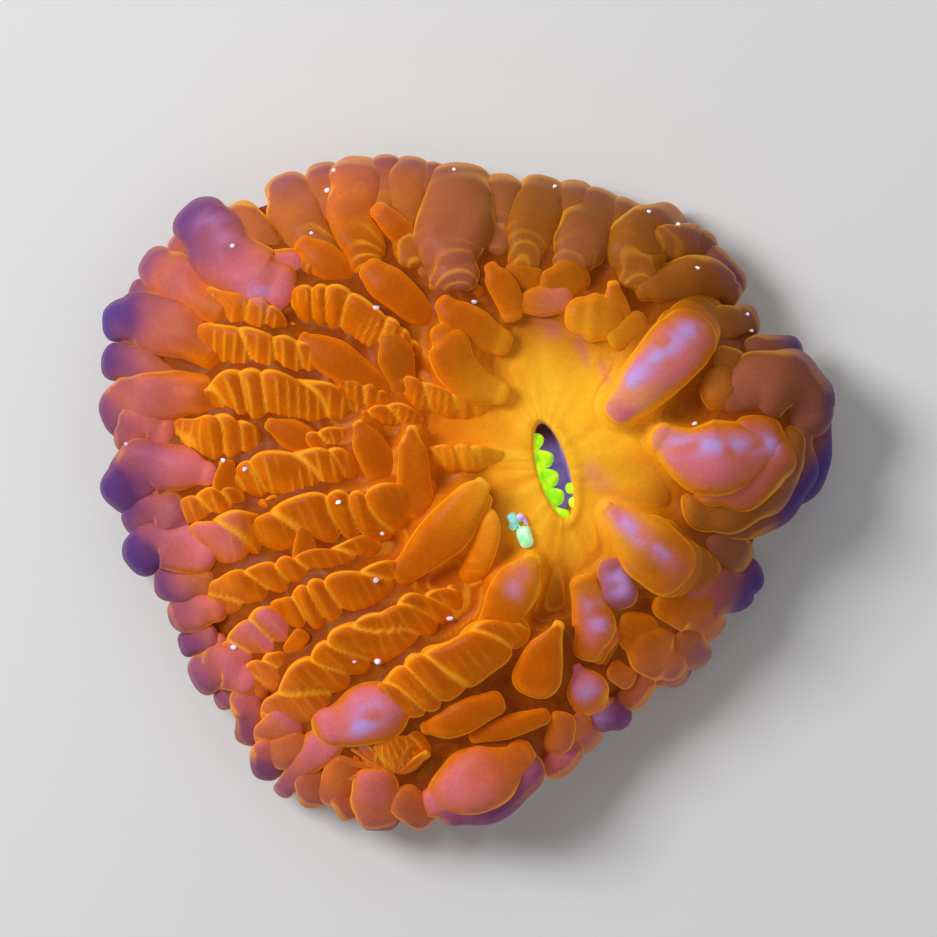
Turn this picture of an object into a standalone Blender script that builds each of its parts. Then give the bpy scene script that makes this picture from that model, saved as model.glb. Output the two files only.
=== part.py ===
"""Plate coral: one solitary polyp 74 mm across, grown as one piece and cut off flat underneath.

A low dome carries the mouth to one side of its middle. Swollen lobes stand round the rim, rows of
puffs run from them towards the mouth, and leaf-shaped tentacles lie between the rows.
Millimetres are used for every size below and turned into metres by MM. +Z is up.
"""

import math

import bmesh
import bpy
import numpy as np
from mathutils import Matrix

MM = 0.001

# The dome under the lobes
MOUTH = (8.6, 2.0)
DISC_HEIGHT = 15.5
RIM_HEIGHT = 5.5
DOME_FULLNESS = 0.72
FLAT_DEPTH = 1.7
UNDERSIDE_POWER = 4
DOME_SEGMENTS = 96
DOME_RINGS = 40
RIM_SAMPLES = 24
RIM_POINTS = (
    (-34.5, 6), (-33.5, 15), (-30, 21.5), (-25, 26.5), (-18, 29.5), (-9, 31.5), (0, 31),
    (9, 29.5), (17, 27), (23, 23), (28, 16.5), (34, 11), (34.5, 5), (31, -0.5), (27.5, -8),
    (23, -15), (17, -20), (12, -24), (6, -29.5), (-3, -32.5), (-11, -31.5), (-18, -27),
    (-24, -19.5), (-28, -13.5), (-31, -7), (-33.5, 0),
)

# The mouth: a slit, and the cushions of its lip
MOUTH_SIZE = (3.0, 9.6, 8.0)
MOUTH_TILT = math.radians(16)
MOUTH_SEGMENTS = 20
MOUTH_RINGS = 12

# Lobes are swept along points of x, y and half width, from root to tip
LOBE_SEGMENTS = 16
LOBE_RINGS = 14
PATH_SAMPLES = 12
LEAN_POWER = 1.5

# The fused skin
VOXEL = 0.62
SMOOTHING = 0.5
SKIN_TRIANGLES = 9300
BOX_SPAN = 120.0
SMOOTH_ANGLE = math.radians(55)

LEFT_RIM_LOBES = (
    ((-26.6, 26.6, 2.5), (-25.4, 25.2, 2.9), (-23.6, 22.9, 3.1), (-21.2, 20.8, 3.0), (-19.2, 20, 2.2)),
    ((-20.5, 21.4, 2.0), (-17.7, 22.1, 1.7)),
    ((-19.6, 19.4, 1.6), (-18.9, 18.6, 1.2)),
    ((-31.0, 22.3, 1.8), (-29.3, 21.2, 2.2), (-27, 19.2, 2.1), (-25.2, 18, 1.7)),
    ((-35.0, 17.2, 1.6), (-32.5, 17, 2.5), (-29, 15.7, 2.3), (-25.5, 14.2, 1.9)),
    ((-35.4, 12.6, 1.3), (-33.5, 12.6, 1.8), (-31, 12, 1.2), (-28.8, 11.6, 0.8)),
    ((-35.2, 7.9, 2.1), (-33, 8.6, 2.7), (-30, 9.3, 2.4), (-27, 9.5, 2.1), (-25.2, 9.2, 1.6)),
    ((-33.4, 5.2, 1.6), (-32.2, 6.3, 2.2), (-30.8, 5.9, 1.6)),
    ((-33.6, 0.4, 2.6), (-32.4, 2, 2.7), (-30.2, 2.6, 2.2), (-27.8, 2.2, 1.9), (-26.3, 1.8, 1.4)),
    ((-32.8, -2.9, 1.5), (-31.3, -2, 1.9), (-29.3, -2.6, 1.8), (-28.3, -3.4, 1.2)),
    ((-32.4, -6.4, 1.9), (-31, -5.2, 2.4), (-29, -5.6, 2.2), (-27, -6, 1.9)),
    ((-30, -9.4, 1.3), (-28, -9.4, 1.6), (-26.6, -9.4, 1.4)),
    ((-28.6, -12.4, 1.5), (-27, -12, 1.8), (-25.6, -11.8, 1.4)),
    ((-26.2, -18.4, 1.8), (-24.4, -17.6, 2.3), (-22.6, -18.4, 1.8)),
    ((-24.8, -17.0, 1.4), (-24.8, -15.4, 1.0)),
    ((-28.2, -15.4, 1.0), (-26.6, -15.0, 1.3)),
    ((-22.2, -24.6, 1.1), (-21.6, -22.8, 1.5), (-22, -21.2, 1.5)),
    ((-24.4, -21.0, 1.0), (-23.2, -20.4, 1.4)),
    ((-20.2, -28.2, 1.1), (-20.0, -26.6, 1.3)),
    ((-14.2, -25.6, 1.9), (-16, -27, 1.9), (-17.8, -28.7, 1.5), (-19.1, -29.9, 0.9)),
)

BROWN_SLIVERS = (
    ((-28.6, 24.6, 1.2), (-26, 22, 1.4), (-22.6, 19, 1.2)),
    ((-32.6, 19.8, 1.0), (-29.6, 18.6, 1.2), (-26, 16.6, 1.0)),
    ((-34.2, 15.4, 0.9), (-31.5, 14.4, 1.1), (-28.6, 13.2, 0.9)),
    ((-22.6, 26.8, 1.7), (-21.0, 25, 1.9), (-18.6, 22.6, 1.4)),
    ((-32.4, -1.2, 1.4), (-30.6, -0.1, 1.5), (-28.8, -0.4, 1.4)),
    ((-14.4, 31.2, 1.6), (-13.9, 28.6, 1.6), (-13, 25.6, 1.3)),
    ((10.8, 29.4, 1.7), (10.6, 27, 1.6)),
    ((15.8, 27.4, 1.7), (14.8, 25.6, 1.6)),
    ((26.4, 21.0, 1.6), (24.6, 22.6, 1.6)),
    ((26.8, -6.4, 1.6), (25.2, -5.4, 1.6)),
)

RIDGE_PUFFS = (
    ((-24.6, 17.6, 1.5), (-23.2, 17.1, 1.6)),
    ((-22.2, 16.7, 1.4), (-20.2, 16.1, 1.6), (-19.2, 15.6, 1.2)),
    ((-23.4, 13.6, 1.8), (-21, 13.1, 1.8)),
    ((-19.6, 12.8, 1.7), (-17.4, 12.4, 1.7), (-16.2, 12.1, 1.4)),
    ((-24.4, 8.6, 1.5), (-22, 8.9, 2.2), (-20.4, 8.8, 2.0)),
    ((-18.6, 8.7, 1.8), (-16, 8.4, 1.6), (-13, 7.9, 1.3)),
    ((-29.3, 5.6, 1.0), (-29.0, 5.4, 1.0)),
    ((-27.4, 4.9, 1.6), (-25, 4.9, 1.8), (-23.4, 4.5, 1.6)),
    ((-21.4, 4.4, 1.4), (-20.4, 4.3, 1.4)),
    ((-26.6, -2.2, 1.4), (-25.2, -2.0, 1.4)),
    ((-21.6, 0.9, 1.4), (-19.5, 1.1, 1.8), (-17.4, 1.2, 1.9)),
    ((-15.8, 1.3, 1.8), (-13.5, 1.4, 1.7), (-11.4, 1.6, 1.5)),
    ((-25, -5.4, 1.8), (-23, -5.2, 2.1), (-21.4, -4.9, 1.8)),
    ((-19.8, -4.9, 1.6), (-18.3, -4.3, 2.0), (-16.6, -3.8, 2.0)),
    ((-14.6, -3.3, 1.9), (-12.6, -2.9, 1.7), (-11, -2.7, 1.6)),
    ((-8.8, -2.4, 1.8), (-6.8, -1.9, 2.0), (-4.6, -1.2, 1.6)),
    ((-23.6, -10.8, 1.5), (-22.2, -10.4, 1.8), (-20.6, -9.8, 1.5)),
    ((-19.4, -9.4, 1.2), (-17.8, -9.0, 1.3)),
    ((-17, -12.5, 1.5), (-15, -12.1, 2.0), (-12.8, -11.3, 1.9)),
    ((-11.4, -10.9, 1.8), (-9.6, -10.2, 1.7), (-7.4, -9.0, 1.5)),
    ((-21.6, -15.6, 1.6), (-19.8, -14.5, 1.8), (-17.9, -13.2, 1.6)),
    ((-20.6, -19.2, 1.4), (-19.4, -18.6, 1.4)),
    ((-5.4, -13, 1.5), (-3.8, -12, 1.9), (-2.3, -11.6, 1.4)),
    ((-7.4, -14.4, 1.3), (-6.0, -14.2, 1.2)),
    ((-11.6, -15.8, 1.6), (-9.8, -15, 1.8), (-8.2, -15, 1.5)),
    ((-14.7, -18.6, 1.7), (-13, -17.8, 2.0), (-11.6, -17.6, 1.6)),
    ((-17.3, -21.6, 1.8), (-15.9, -20.6, 2.2), (-14.9, -19.6, 1.7)),
    ((-19.2, -24.4, 1.4), (-18.0, -23.4, 1.8)),
    ((-1.0, 0.6, 1.5), (-0.4, -1.4, 1.5)),
)

CURTAIN_FOLDS = (
    ((-15.8, 17.8, 2.2), (-13, 17.2, 2.3), (-10.3, 15.6, 2.1), (-7.7, 13.9, 1.9), (-5.5, 12.5, 1.5)),
    ((-13.2, 9.4, 1.4), (-10.4, 8.8, 1.3), (-8.2, 8.0, 1.2)),
    ((-9.3, 6.8, 1.0), (-7.3, 7, 1.2), (-5.4, 6.4, 1.1)),
)

LOWER_RIDGE_PUFFS = (
    ((0.2, -15.6, 1.6), (2, -14.9, 2.0), (4, -14.8, 1.6)),
    ((-2.6, -17.6, 1.7), (-0.7, -17, 2.1), (1.2, -17.2, 1.7)),
    ((-5.7, -19.3, 1.9), (-4, -18.9, 2.4), (-2, -19.6, 1.7)),
    ((-13.2, -23.2, 2.2), (-11, -22.6, 3.0), (-8.8, -21.9, 2.9), (-6.8, -21, 2.1)),
    ((-10.4, -24.4, 1.5), (-10.4, -25.4, 1.1)),
)

TENTACLES = (
    ((-10.9, 20.6, 1.2), (-12.8, 21.6, 1.8), (-14.8, 23.2, 1.8), (-16.1, 24.3, 1.0)),
    ((-3.4, 17, 1.1), (-5.6, 18.3, 1.8), (-7.8, 20.2, 2.0), (-9.3, 21.6, 1.2)),
    ((3, 14.8, 1.5), (1, 15.7, 1.9), (-1, 17.2, 1.7), (-2.1, 18.3, 0.9)),
    ((3, 9.6, 1.2), (0.6, 10.6, 1.9), (-1.3, 12.4, 2.2), (-1.8, 14.4, 2.1), (-2.3, 15.4, 1.2)),
    ((4.4, 17.6, 1.0), (3.9, 19.3, 1.4), (3, 21, 1.3), (2.5, 21.9, 0.7)),
    ((-8.2, 10.3, 0.9), (-10.5, 11.5, 1.6), (-13, 12.9, 1.9), (-15.2, 14.4, 1.2), (-16, 15, 0.7)),
    ((-6.4, 11, 1.4), (-7, 13.2, 1.7), (-7.6, 14.8, 0.9)),
    ((-13.8, 3.9, 0.8), (-15.2, 4.4, 1.4), (-17.5, 5.6, 1.5), (-19.3, 6.4, 0.8)),
    ((-23.6, -1.4, 1.3), (-24, 0.8, 1.3), (-23.9, 2.4, 0.6)),
    ((-8.6, 0.4, 1.2), (-8.7, 2.4, 1.7), (-9.8, 4.8, 1.5), (-10.6, 6.3, 0.7)),
    ((-4.9, -1.2, 1.7), (-5.2, 1.4, 1.6), (-5.5, 4.2, 1.4), (-5.4, 5.7, 0.8)),
    ((-6.2, -8, 1.3), (-4, -5.9, 2.1), (-1.5, -3.2, 2.4), (0.6, -0.6, 1.6), (1.5, 0.5, 0.7)),
    ((-15.9, -8.2, 1.2), (-16, -6, 1.3), (-16.2, -4.2, 0.6)),
    ((-18.3, -17.6, 0.7), (-17.4, -16, 1.0), (-16.6, -14.6, 0.8)),
    ((2.8, -12.9, 1.7), (3.9, -11, 2.2), (5.4, -8.8, 2.1), (6.4, -7.1, 1.1)),
    ((7, -18.2, 2.5), (7.8, -16, 1.8), (8.9, -13.6, 0.8)),
    ((-5.4, 24.2, 1.0), (-7, 26, 1.3), (-8.6, 27.6, 1.1)),
    ((15.3, 16.9, 0.9), (14.7, 18.7, 1.2), (14.5, 20.2, 0.7)),
)

TOP_LOBES = (
    ((-15, 23.6, 1.9), (-16, 25.6, 2.2), (-17.2, 28, 2.3), (-18, 29.8, 1.8)),
    ((-10.4, 23.6, 1.9), (-11.2, 26.2, 2.3), (-11.2, 29, 2.5), (-11.1, 31.8, 2.4)),
    ((-8, 27, 1.0), (-8.2, 30, 1.3), (-8.3, 32.6, 1.2)),
    ((-5.4, 23.4, 1.3), (-6, 26, 1.6), (-6, 29.5, 1.7), (-5.8, 32.6, 1.9)),
    ((-4.7, 25, 0.9), (-4.3, 29, 1.0), (-3.4, 32, 1.1)),
    ((-1.2, 22.3, 2.4), (-1.4, 24.2, 3.1), (-1, 27, 3.4), (-0.8, 29.8, 2.8)),
    ((-2.6, 19.8, 1.2), (-1.2, 20, 1.5), (0.6, 19.8, 1.2)),
    ((3, 24.8, 1.4), (3.3, 27.2, 1.7), (3.4, 30, 1.7)),
    ((5.6, 23.3, 1.6), (6.1, 25, 2.0), (6.8, 27, 2.3), (7.6, 29, 2.1), (7.2, 30.4, 1.6)),
    ((10.3, 22.6, 1.5), (11.2, 24.2, 2.3), (12.4, 26.3, 2.7), (13.2, 27.9, 2.1)),
    ((16.9, 22, 1.8), (16.8, 23.9, 2.8), (18.4, 25.2, 2.9), (19.6, 26, 2.4)),
    ((20.4, 24.4, 2.0), (22.2, 24.2, 2.2), (23.2, 24, 1.8)),
)

TOP_INNER_PUFFS = (
    ((3.6, 20.6, 1.1), (5.0, 21.2, 1.4), (6.4, 20.9, 1.2)),
    ((5.4, 18.6, 0.8), (7.2, 18.8, 1.4), (9.2, 18.9, 1.5)),
    ((8.9, 20.4, 1.5), (10.2, 20.9, 1.8)),
    ((11.2, 17.2, 1.0), (12.3, 17.4, 2.0), (13.6, 16.9, 2.0)),
    ((15.2, 15.4, 1.2), (16.6, 16.2, 1.4)),
)

RIGHT_BEANS = (
    ((15.2, 8.2, 1.6), (16.8, 10, 2.6), (19, 12.4, 3.1), (21.2, 14.6, 3.0), (22.4, 15.9, 2.2)),
    ((19.5, 4.2, 1.8), (21.8, 3.1, 3.0), (24.6, 2.9, 3.5), (27.6, 3.4, 3.1), (29.8, 3.9, 2.5)),
    ((14.3, -2.3, 0.8), (16, -3.6, 2.0), (18.2, -5.4, 2.6), (20.6, -7.2, 3.0), (22, -8, 2.5)),
)

BEAN_SHELLS = (
    ((19.6, 13.6, 3.0), (21.8, 15.4, 2.9)),
    ((26.4, 1.4, 3.0), (29.2, 3.2, 3.0)),
    ((28.4, 5.0, 2.2), (29.4, 5.2, 2.2)),
    ((19.8, -7.6, 3.0), (22.6, -8.6, 2.6)),
)

OUTER_SHELLS = (
    ((24.4, -1.8, 2.4), (28, -0.8, 2.8), (30.8, 1.6, 2.6), (31.8, 4.2, 2.0)),
    ((31.2, -1.2, 1.8), (34.2, 1.4, 2.0), (35.1, 5, 1.7), (35.2, 8, 1.8)),
    ((26.6, 9.6, 2.0), (28.8, 10.6, 2.8), (31.2, 10.4, 3.5), (33.4, 9.4, 3.3), (34.2, 7.6, 2.4)),
    ((29.6, 13.4, 1.8), (31.6, 13.4, 1.8)),
    ((26.2, 8.2, 1.0), (25.2, 9.4, 1.7), (24.8, 11, 1.6)),
    ((25.2, 12.6, 1.9), (26.2, 12.2, 1.9)),
    ((24.9, 16.2, 1.9), (26.6, 16.7, 1.7), (28, 17, 1.3)),
    ((18, 19.9, 1.2), (20.5, 20.8, 1.9), (23.2, 21, 2.2), (25.4, 20.2, 1.8), (26.4, 19.6, 1.1)),
    ((26.4, -8.6, 1.8), (27.9, -9.6, 2.4), (28.2, -10.8, 2.2), (26.9, -11.6, 2.0)),
    ((24.2, -8.6, 1.8), (24.6, -9.8, 1.8)),
    ((20.4, -11.4, 1.8), (22.6, -12, 2.2), (24.2, -13.4, 1.8)),
)

LOWER_RIGHT_LOBES = (
    ((14.6, -8.2, 1.4), (15, -10, 1.6)),
    ((12, -10, 1.3), (12.6, -12, 1.8), (12.8, -14.2, 1.9), (12.4, -15.8, 1.4)),
    ((16.4, -13.4, 1.2), (17.8, -13.8, 1.3)),
    ((17.6, -16.2, 1.8), (19.5, -17, 2.2), (20.8, -17.3, 1.9)),
    ((22.4, -15.8, 1.5), (23.2, -16.8, 1.2)),
    ((15.4, -18.2, 1.2), (15.8, -18.4, 1.2)),
    ((17.2, -19.6, 1.5), (16.6, -20.6, 1.4)),
    ((12, -20.2, 1.4), (12.8, -21.4, 2.1), (13.2, -22.7, 1.4)),
    ((14.4, -23.4, 1.8), (15.2, -23.4, 2.0)),
    ((9.2, -23.6, 1.2), (9.0, -25, 1.3)),
    ((11.4, -24.6, 1.6), (11.8, -25, 1.4)),
    ((9.8, -26.4, 1.5), (8.8, -27.4, 1.4)),
)

BOTTOM_LOBES = (
    ((-3, -31, 1.6), (-0.8, -30, 2.6), (2.2, -28.3, 3.2), (4.4, -27, 2.4)),
    ((-1.0, -31.6, 1.9), (2.4, -30.6, 2.4), (5, -28.2, 2.2)),
    ((-9.2, -30.2, 2.0), (-9.2, -31.2, 2.1)),
    ((-9.1, -31.8, 2.0), (-9.0, -32.6, 2.0)),
    ((-4.2, -23.9, 1.0), (-2, -23.2, 1.7), (0.6, -22.2, 1.5), (2.5, -21.3, 0.9)),
    ((1, -24.3, 0.8), (4, -23.6, 1.1), (7.4, -22.6, 0.8)),
    ((-9.6, -27.6, 1.4), (-7.2, -27, 1.7), (-5, -26, 1.5)),
    ((-5.8, -31.6, 1.5), (-4.8, -32.8, 1.4)),
    ((-12.6, -28.2, 1.4), (-13.4, -30.4, 1.4)),
    ((-12.2, -31.6, 1.2), (-12.0, -32.2, 1.1)),
    ((-15.6, -29.8, 1.4), (-15.6, -31, 1.2)),
    ((-17.6, -25.6, 1.4), (-18.6, -26.6, 1.4)),
)

LIP_CUSHIONS = (
    ((6.3, 5.2, 0.7), (7.0, 5.0, 0.5)),
    ((6.3, 3.2, 0.8), (7.3, 3.0, 0.6)),
    ((6.7, 1.1, 0.8), (7.7, 1.0, 0.6)),
    ((7.3, -1.0, 0.8), (8.3, -0.9, 0.6)),
    ((8.1, -2.6, 0.7), (8.9, -2.5, 0.5)),
)

# Groups as: lobes, height of the centre line over the dome, height against width, lean of the
# crest to the left of the path as a share of the half width, and rise of the tip
LOBE_GROUPS = (
    (LEFT_RIM_LOBES, 1.2, 1.1, 0.1, 0.0),
    (BROWN_SLIVERS, 0.2, 0.9, 0.0, 0.0),
    (RIDGE_PUFFS, 1.3, 1.4, 0.35, 0.0),
    (CURTAIN_FOLDS, 0.9, 1.3, 0.4, 0.0),
    (LOWER_RIDGE_PUFFS, 1.6, 1.1, 0.1, 0.0),
    (TENTACLES, 1.8, 0.8, 0.0, 1.8),
    (TOP_LOBES, 1.1, 1.1, 0.0, -0.4),
    (TOP_INNER_PUFFS, 1.2, 0.9, 0.0, 0.0),
    (RIGHT_BEANS, 2.2, 0.95, 0.0, 0.4),
    (BEAN_SHELLS, 1.2, 1.0, 0.0, 0.0),
    (OUTER_SHELLS, 0.6, 1.05, 0.0, 0.0),
    (LOWER_RIGHT_LOBES, 1.1, 1.1, 0.0, 0.0),
    (BOTTOM_LOBES, 1.1, 1.05, 0.0, 0.0),
    (LIP_CUSHIONS, 0.1, 0.8, 0.0, 0.0),
)


def smooth_path(points, samples, closed=False):
    """A Catmull-Rom curve through the points, with this many samples to a span."""
    points = np.array(points, float)
    if closed:
        knots = np.vstack([points[-1], points, points[:2]])
    else:
        knots = np.vstack([2 * points[0] - points[1], points, 2 * points[-1] - points[-2]])
    t = np.linspace(0, 1, samples, endpoint=False)[:, None]
    spans = []
    for a, b, c, d in zip(knots, knots[1:], knots[2:], knots[3:]):
        curve = 2 * b + (c - a) * t + (2 * a - 5 * b + 4 * c - d) * t**2
        curve = curve + (3 * b - a - 3 * c + d) * t**3
        spans.append(curve / 2)
    if not closed:
        spans.append(points[-1:])
    return np.vstack(spans)


def rim_table():
    """Directions from the mouth in order, and how far the rim is in each."""
    rim = smooth_path(RIM_POINTS, RIM_SAMPLES, closed=True) - MOUTH
    angle = np.arctan2(rim[:, 1], rim[:, 0])
    order = np.argsort(angle)
    return angle[order], np.hypot(rim[:, 0], rim[:, 1])[order]


RIM_ANGLES, RIM_REACH = rim_table()


def rim_reach(angle):
    return np.interp(angle, RIM_ANGLES, RIM_REACH, period=2 * math.pi)


def dome_height(x, y):
    """Height of the dome's skin over a point, which falls from the mouth to the rim."""
    dx = x - MOUTH[0]
    dy = y - MOUTH[1]
    share = np.hypot(dx, dy) / rim_reach(np.arctan2(dy, dx))
    fall = np.clip(1 - share**2, 0, 1) ** DOME_FULLNESS
    return RIM_HEIGHT + (DISC_HEIGHT - RIM_HEIGHT) * fall


def underside_height(share):
    """Height of the underside, which dips below zero in the middle, where it is cut flat."""
    return RIM_HEIGHT - (RIM_HEIGHT + FLAT_DEPTH) * (1 - share**UNDERSIDE_POWER)


def add_ball(bm, segments, rings):
    """A ball of radius 1 in the mesh, as its vertices and their places."""
    made = bmesh.ops.create_uvsphere(bm, u_segments=segments, v_segments=rings, radius=1)
    return made["verts"], np.array([v.co for v in made["verts"]])


def add_dome(bm):
    """A ball drawn out to the rim: its upper half is the dome and its lower half the underside."""
    verts, ball = add_ball(bm, DOME_SEGMENTS, DOME_RINGS)
    share = np.hypot(ball[:, 0], ball[:, 1])
    angle = np.arctan2(ball[:, 1], ball[:, 0])
    reach = rim_reach(angle) * share
    x = MOUTH[0] + reach * np.cos(angle)
    y = MOUTH[1] + reach * np.sin(angle)
    z = np.where(ball[:, 2] > 0, dome_height(x, y), underside_height(share))
    for vert, place in zip(verts, np.column_stack([x, y, z])):
        vert.co = place


def add_lobe(bm, points, lift, flatness, lean, rise):
    """A ball drawn out along a path into a rounded, leaning lobe that follows the dome."""
    path = smooth_path(points, PATH_SAMPLES)
    ahead = np.gradient(path[:, :2], axis=0)
    ahead /= np.linalg.norm(ahead, axis=1)[:, None]
    step = np.linalg.norm(np.diff(path[:, :2], axis=0), axis=1)
    run = np.concatenate([[0], np.cumsum(step)])
    root, tip = path[0, 2], path[-1, 2]
    verts, ball = add_ball(bm, LOBE_SEGMENTS, LOBE_RINGS)
    along = (ball[:, 2] + 1) / 2 * (run[-1] + root + tip) - root
    to_root = np.clip(-along / root, 0, 1)
    to_tip = np.clip((along - run[-1]) / tip, 0, 1)
    width = np.interp(along, run, path[:, 2]) * np.sqrt(1 - np.maximum(to_root, to_tip) ** 2)
    middle = np.column_stack([np.interp(along, run, path[:, k]) for k in (0, 1)])
    heading = np.column_stack([np.interp(along, run, ahead[:, k]) for k in (0, 1)])
    heading /= np.linalg.norm(heading, axis=1)[:, None]
    middle += heading * (np.minimum(along, 0) + np.maximum(along - run[-1], 0))[:, None]
    round_by = np.arctan2(ball[:, 1], ball[:, 0])
    side = np.column_stack([-heading[:, 1], heading[:, 0]])
    up = np.sin(round_by)
    across = np.cos(round_by) + lean * np.maximum(up, 0) ** LEAN_POWER
    place = middle + side * (across * width)[:, None]
    base = dome_height(middle[:, 0], middle[:, 1])
    height = base + lift + rise * np.clip(along / max(run[-1], tip), 0, 1) + up * width * flatness
    for vert, spot, z in zip(verts, place, height):
        vert.co = (spot[0], spot[1], z)


def keep_largest_body(bm):
    """Takes out the skins of pockets that the lobes shut in between them."""
    left = set(bm.verts)
    bodies = []
    while left:
        front = [left.pop()]
        body = list(front)
        while front:
            for edge in front.pop().link_edges:
                for vert in edge.verts:
                    if vert in left:
                        left.remove(vert)
                        front.append(vert)
                        body.append(vert)
        bodies.append(body)
    bodies.sort(key=len)
    for body in bodies[:-1]:
        bmesh.ops.delete(bm, geom=body, context="VERTS")


def new_object(name, bm, collection):
    mesh = bpy.data.meshes.new(name)
    bmesh.ops.transform(bm, matrix=Matrix.Scale(MM, 4), verts=bm.verts)
    bm.to_mesh(mesh)
    bm.free()
    thing = bpy.data.objects.new(name, mesh)
    collection.objects.link(thing)
    return thing


def evaluated_mesh(thing):
    graph = bpy.context.evaluated_depsgraph_get()
    return bpy.data.meshes.new_from_object(thing.evaluated_get(graph))


def coral_tissue():
    """Living coral skin: orange, wet and slightly see-through."""
    tissue = bpy.data.materials.new("coral_tissue")
    tissue.use_nodes = True
    shader = tissue.node_tree.nodes["Principled BSDF"]
    shader.inputs["Base Color"].default_value = (0.75, 0.24, 0.03, 1)
    shader.inputs["Roughness"].default_value = 0.35
    shader.inputs["Metallic"].default_value = 0.0
    return tissue


def fused_body(collection):
    """The dome and all its lobes, grown together into one skin."""
    bm = bmesh.new()
    add_dome(bm)
    for lobes, lift, flatness, lean, rise in LOBE_GROUPS:
        for points in lobes:
            add_lobe(bm, points, lift, flatness, lean, rise)
    body = new_object("plate_coral", bm, collection)
    fuse = body.modifiers.new("fuse", "REMESH")
    fuse.mode = "VOXEL"
    fuse.voxel_size = VOXEL * MM
    fused = evaluated_mesh(body)
    body.modifiers.remove(fuse)
    bm = bmesh.new()
    bm.from_mesh(fused)
    bpy.data.meshes.remove(fused)
    keep_largest_body(bm)
    bmesh.ops.smooth_vert(
        bm, verts=bm.verts, factor=SMOOTHING, use_axis_x=True, use_axis_y=True, use_axis_z=True
    )
    bmesh.ops.triangulate(bm, faces=bm.faces)
    triangles = len(bm.faces)
    bm.to_mesh(body.data)
    bm.free()
    thin = body.modifiers.new("thin", "DECIMATE")
    thin.ratio = SKIN_TRIANGLES / triangles
    return body


def ground_cutter(collection):
    """A slab under the coral, which cuts it off flat where it grew."""
    bm = bmesh.new()
    bmesh.ops.create_cube(bm, size=BOX_SPAN)
    bmesh.ops.translate(bm, vec=(0, 0, -BOX_SPAN / 2), verts=bm.verts)
    return new_object("ground_cutter", bm, collection)


def mouth_cutter(collection):
    """A long egg that sinks the mouth's slit into the disc."""
    bm = bmesh.new()
    verts, _ = add_ball(bm, MOUTH_SEGMENTS, MOUTH_RINGS)
    half = [side / 2 for side in MOUTH_SIZE]
    bmesh.ops.scale(bm, vec=half, verts=verts)
    bmesh.ops.rotate(bm, matrix=Matrix.Rotation(MOUTH_TILT, 3, "Z"), verts=verts)
    bmesh.ops.translate(bm, vec=(*MOUTH, DISC_HEIGHT), verts=verts)
    return new_object("mouth_cutter", bm, collection)


def cut(body, cutter):
    cutter.hide_render = True
    cutter.display_type = "WIRE"
    step = body.modifiers.new(cutter.name, "BOOLEAN")
    step.operation = "DIFFERENCE"
    step.solver = "EXACT"
    step.object = cutter


def new_collection(name):
    collection = bpy.data.collections.new(name)
    bpy.context.scene.collection.children.link(collection)
    return collection


for old in list(bpy.data.objects):
    bpy.data.objects.remove(old)

coral = new_collection("plate_coral")
cutters = new_collection("cutters")
plate_coral = fused_body(coral)
plate_coral.data.materials.append(coral_tissue())
plate_coral.data.shade_smooth()
plate_coral.data.set_sharp_from_angle(angle=SMOOTH_ANGLE)
cut(plate_coral, mouth_cutter(cutters))
cut(plate_coral, ground_cutter(cutters))
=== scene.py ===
import math

import bpy
import numpy as np
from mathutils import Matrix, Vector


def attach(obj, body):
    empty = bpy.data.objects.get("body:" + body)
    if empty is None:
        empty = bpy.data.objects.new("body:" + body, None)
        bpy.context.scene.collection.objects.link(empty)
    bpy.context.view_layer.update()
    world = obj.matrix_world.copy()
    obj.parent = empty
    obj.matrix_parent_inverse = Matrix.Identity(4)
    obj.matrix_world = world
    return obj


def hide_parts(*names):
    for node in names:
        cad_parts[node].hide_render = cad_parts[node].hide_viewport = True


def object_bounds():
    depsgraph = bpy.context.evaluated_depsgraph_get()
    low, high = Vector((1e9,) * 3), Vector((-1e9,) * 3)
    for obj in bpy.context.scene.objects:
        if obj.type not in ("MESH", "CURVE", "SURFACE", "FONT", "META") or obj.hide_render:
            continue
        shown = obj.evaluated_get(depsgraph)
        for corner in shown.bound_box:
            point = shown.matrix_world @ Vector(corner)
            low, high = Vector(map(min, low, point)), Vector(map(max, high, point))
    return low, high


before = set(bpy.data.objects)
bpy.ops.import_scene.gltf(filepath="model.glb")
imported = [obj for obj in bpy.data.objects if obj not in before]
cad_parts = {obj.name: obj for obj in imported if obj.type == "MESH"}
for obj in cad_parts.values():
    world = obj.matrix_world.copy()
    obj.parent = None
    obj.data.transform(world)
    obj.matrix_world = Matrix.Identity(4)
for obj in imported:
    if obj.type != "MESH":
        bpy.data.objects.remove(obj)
cad_box = [list(corner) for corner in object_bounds()]
MM = 0.001

# The disc: a stony plate with a thin living skin, which the coral lays down a layer at a time.
# Its top domes up to the mouth, and its underside, ribbed with pale costae, is cut off flat
# where it lay on the ground.
MOUTH = (8.6, 2.0)
DISC_HEIGHT = 15.5
RIM_HEIGHT = 5.5
DOME_FULLNESS = 0.72
RIM_DROOP = 18.0
SHOULDER = 0.9
DROOP_BEND = 60.0
FLAT_DEPTH = 1.7
UNDERSIDE_POWER = 4
RIM_SAMPLES = 24
RIM_POINTS = (
    (-34.5, 6), (-33.5, 15), (-30, 21.5), (-25, 26.5), (-18, 29.5), (-9, 31.5), (0, 31),
    (9, 29.5), (17, 27), (23, 23), (28, 16.5), (34, 11), (34.5, 5), (31, -0.5), (27.5, -8),
    (23, -15), (17, -20), (12, -24), (6, -29.5), (-3, -32.5), (-11, -31.5), (-18, -27),
    (-24, -19.5), (-28, -13.5), (-31, -7), (-33.5, 0),
)
MOUTH_HALF = (1.55, 5.05)
MOUTH_TILT = math.radians(16)
MOUTH_DEPTH = 5.0
MOUTH_SHARE = 0.16
DISC_SEGMENTS = 512
DISC_RINGS = 184
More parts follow.
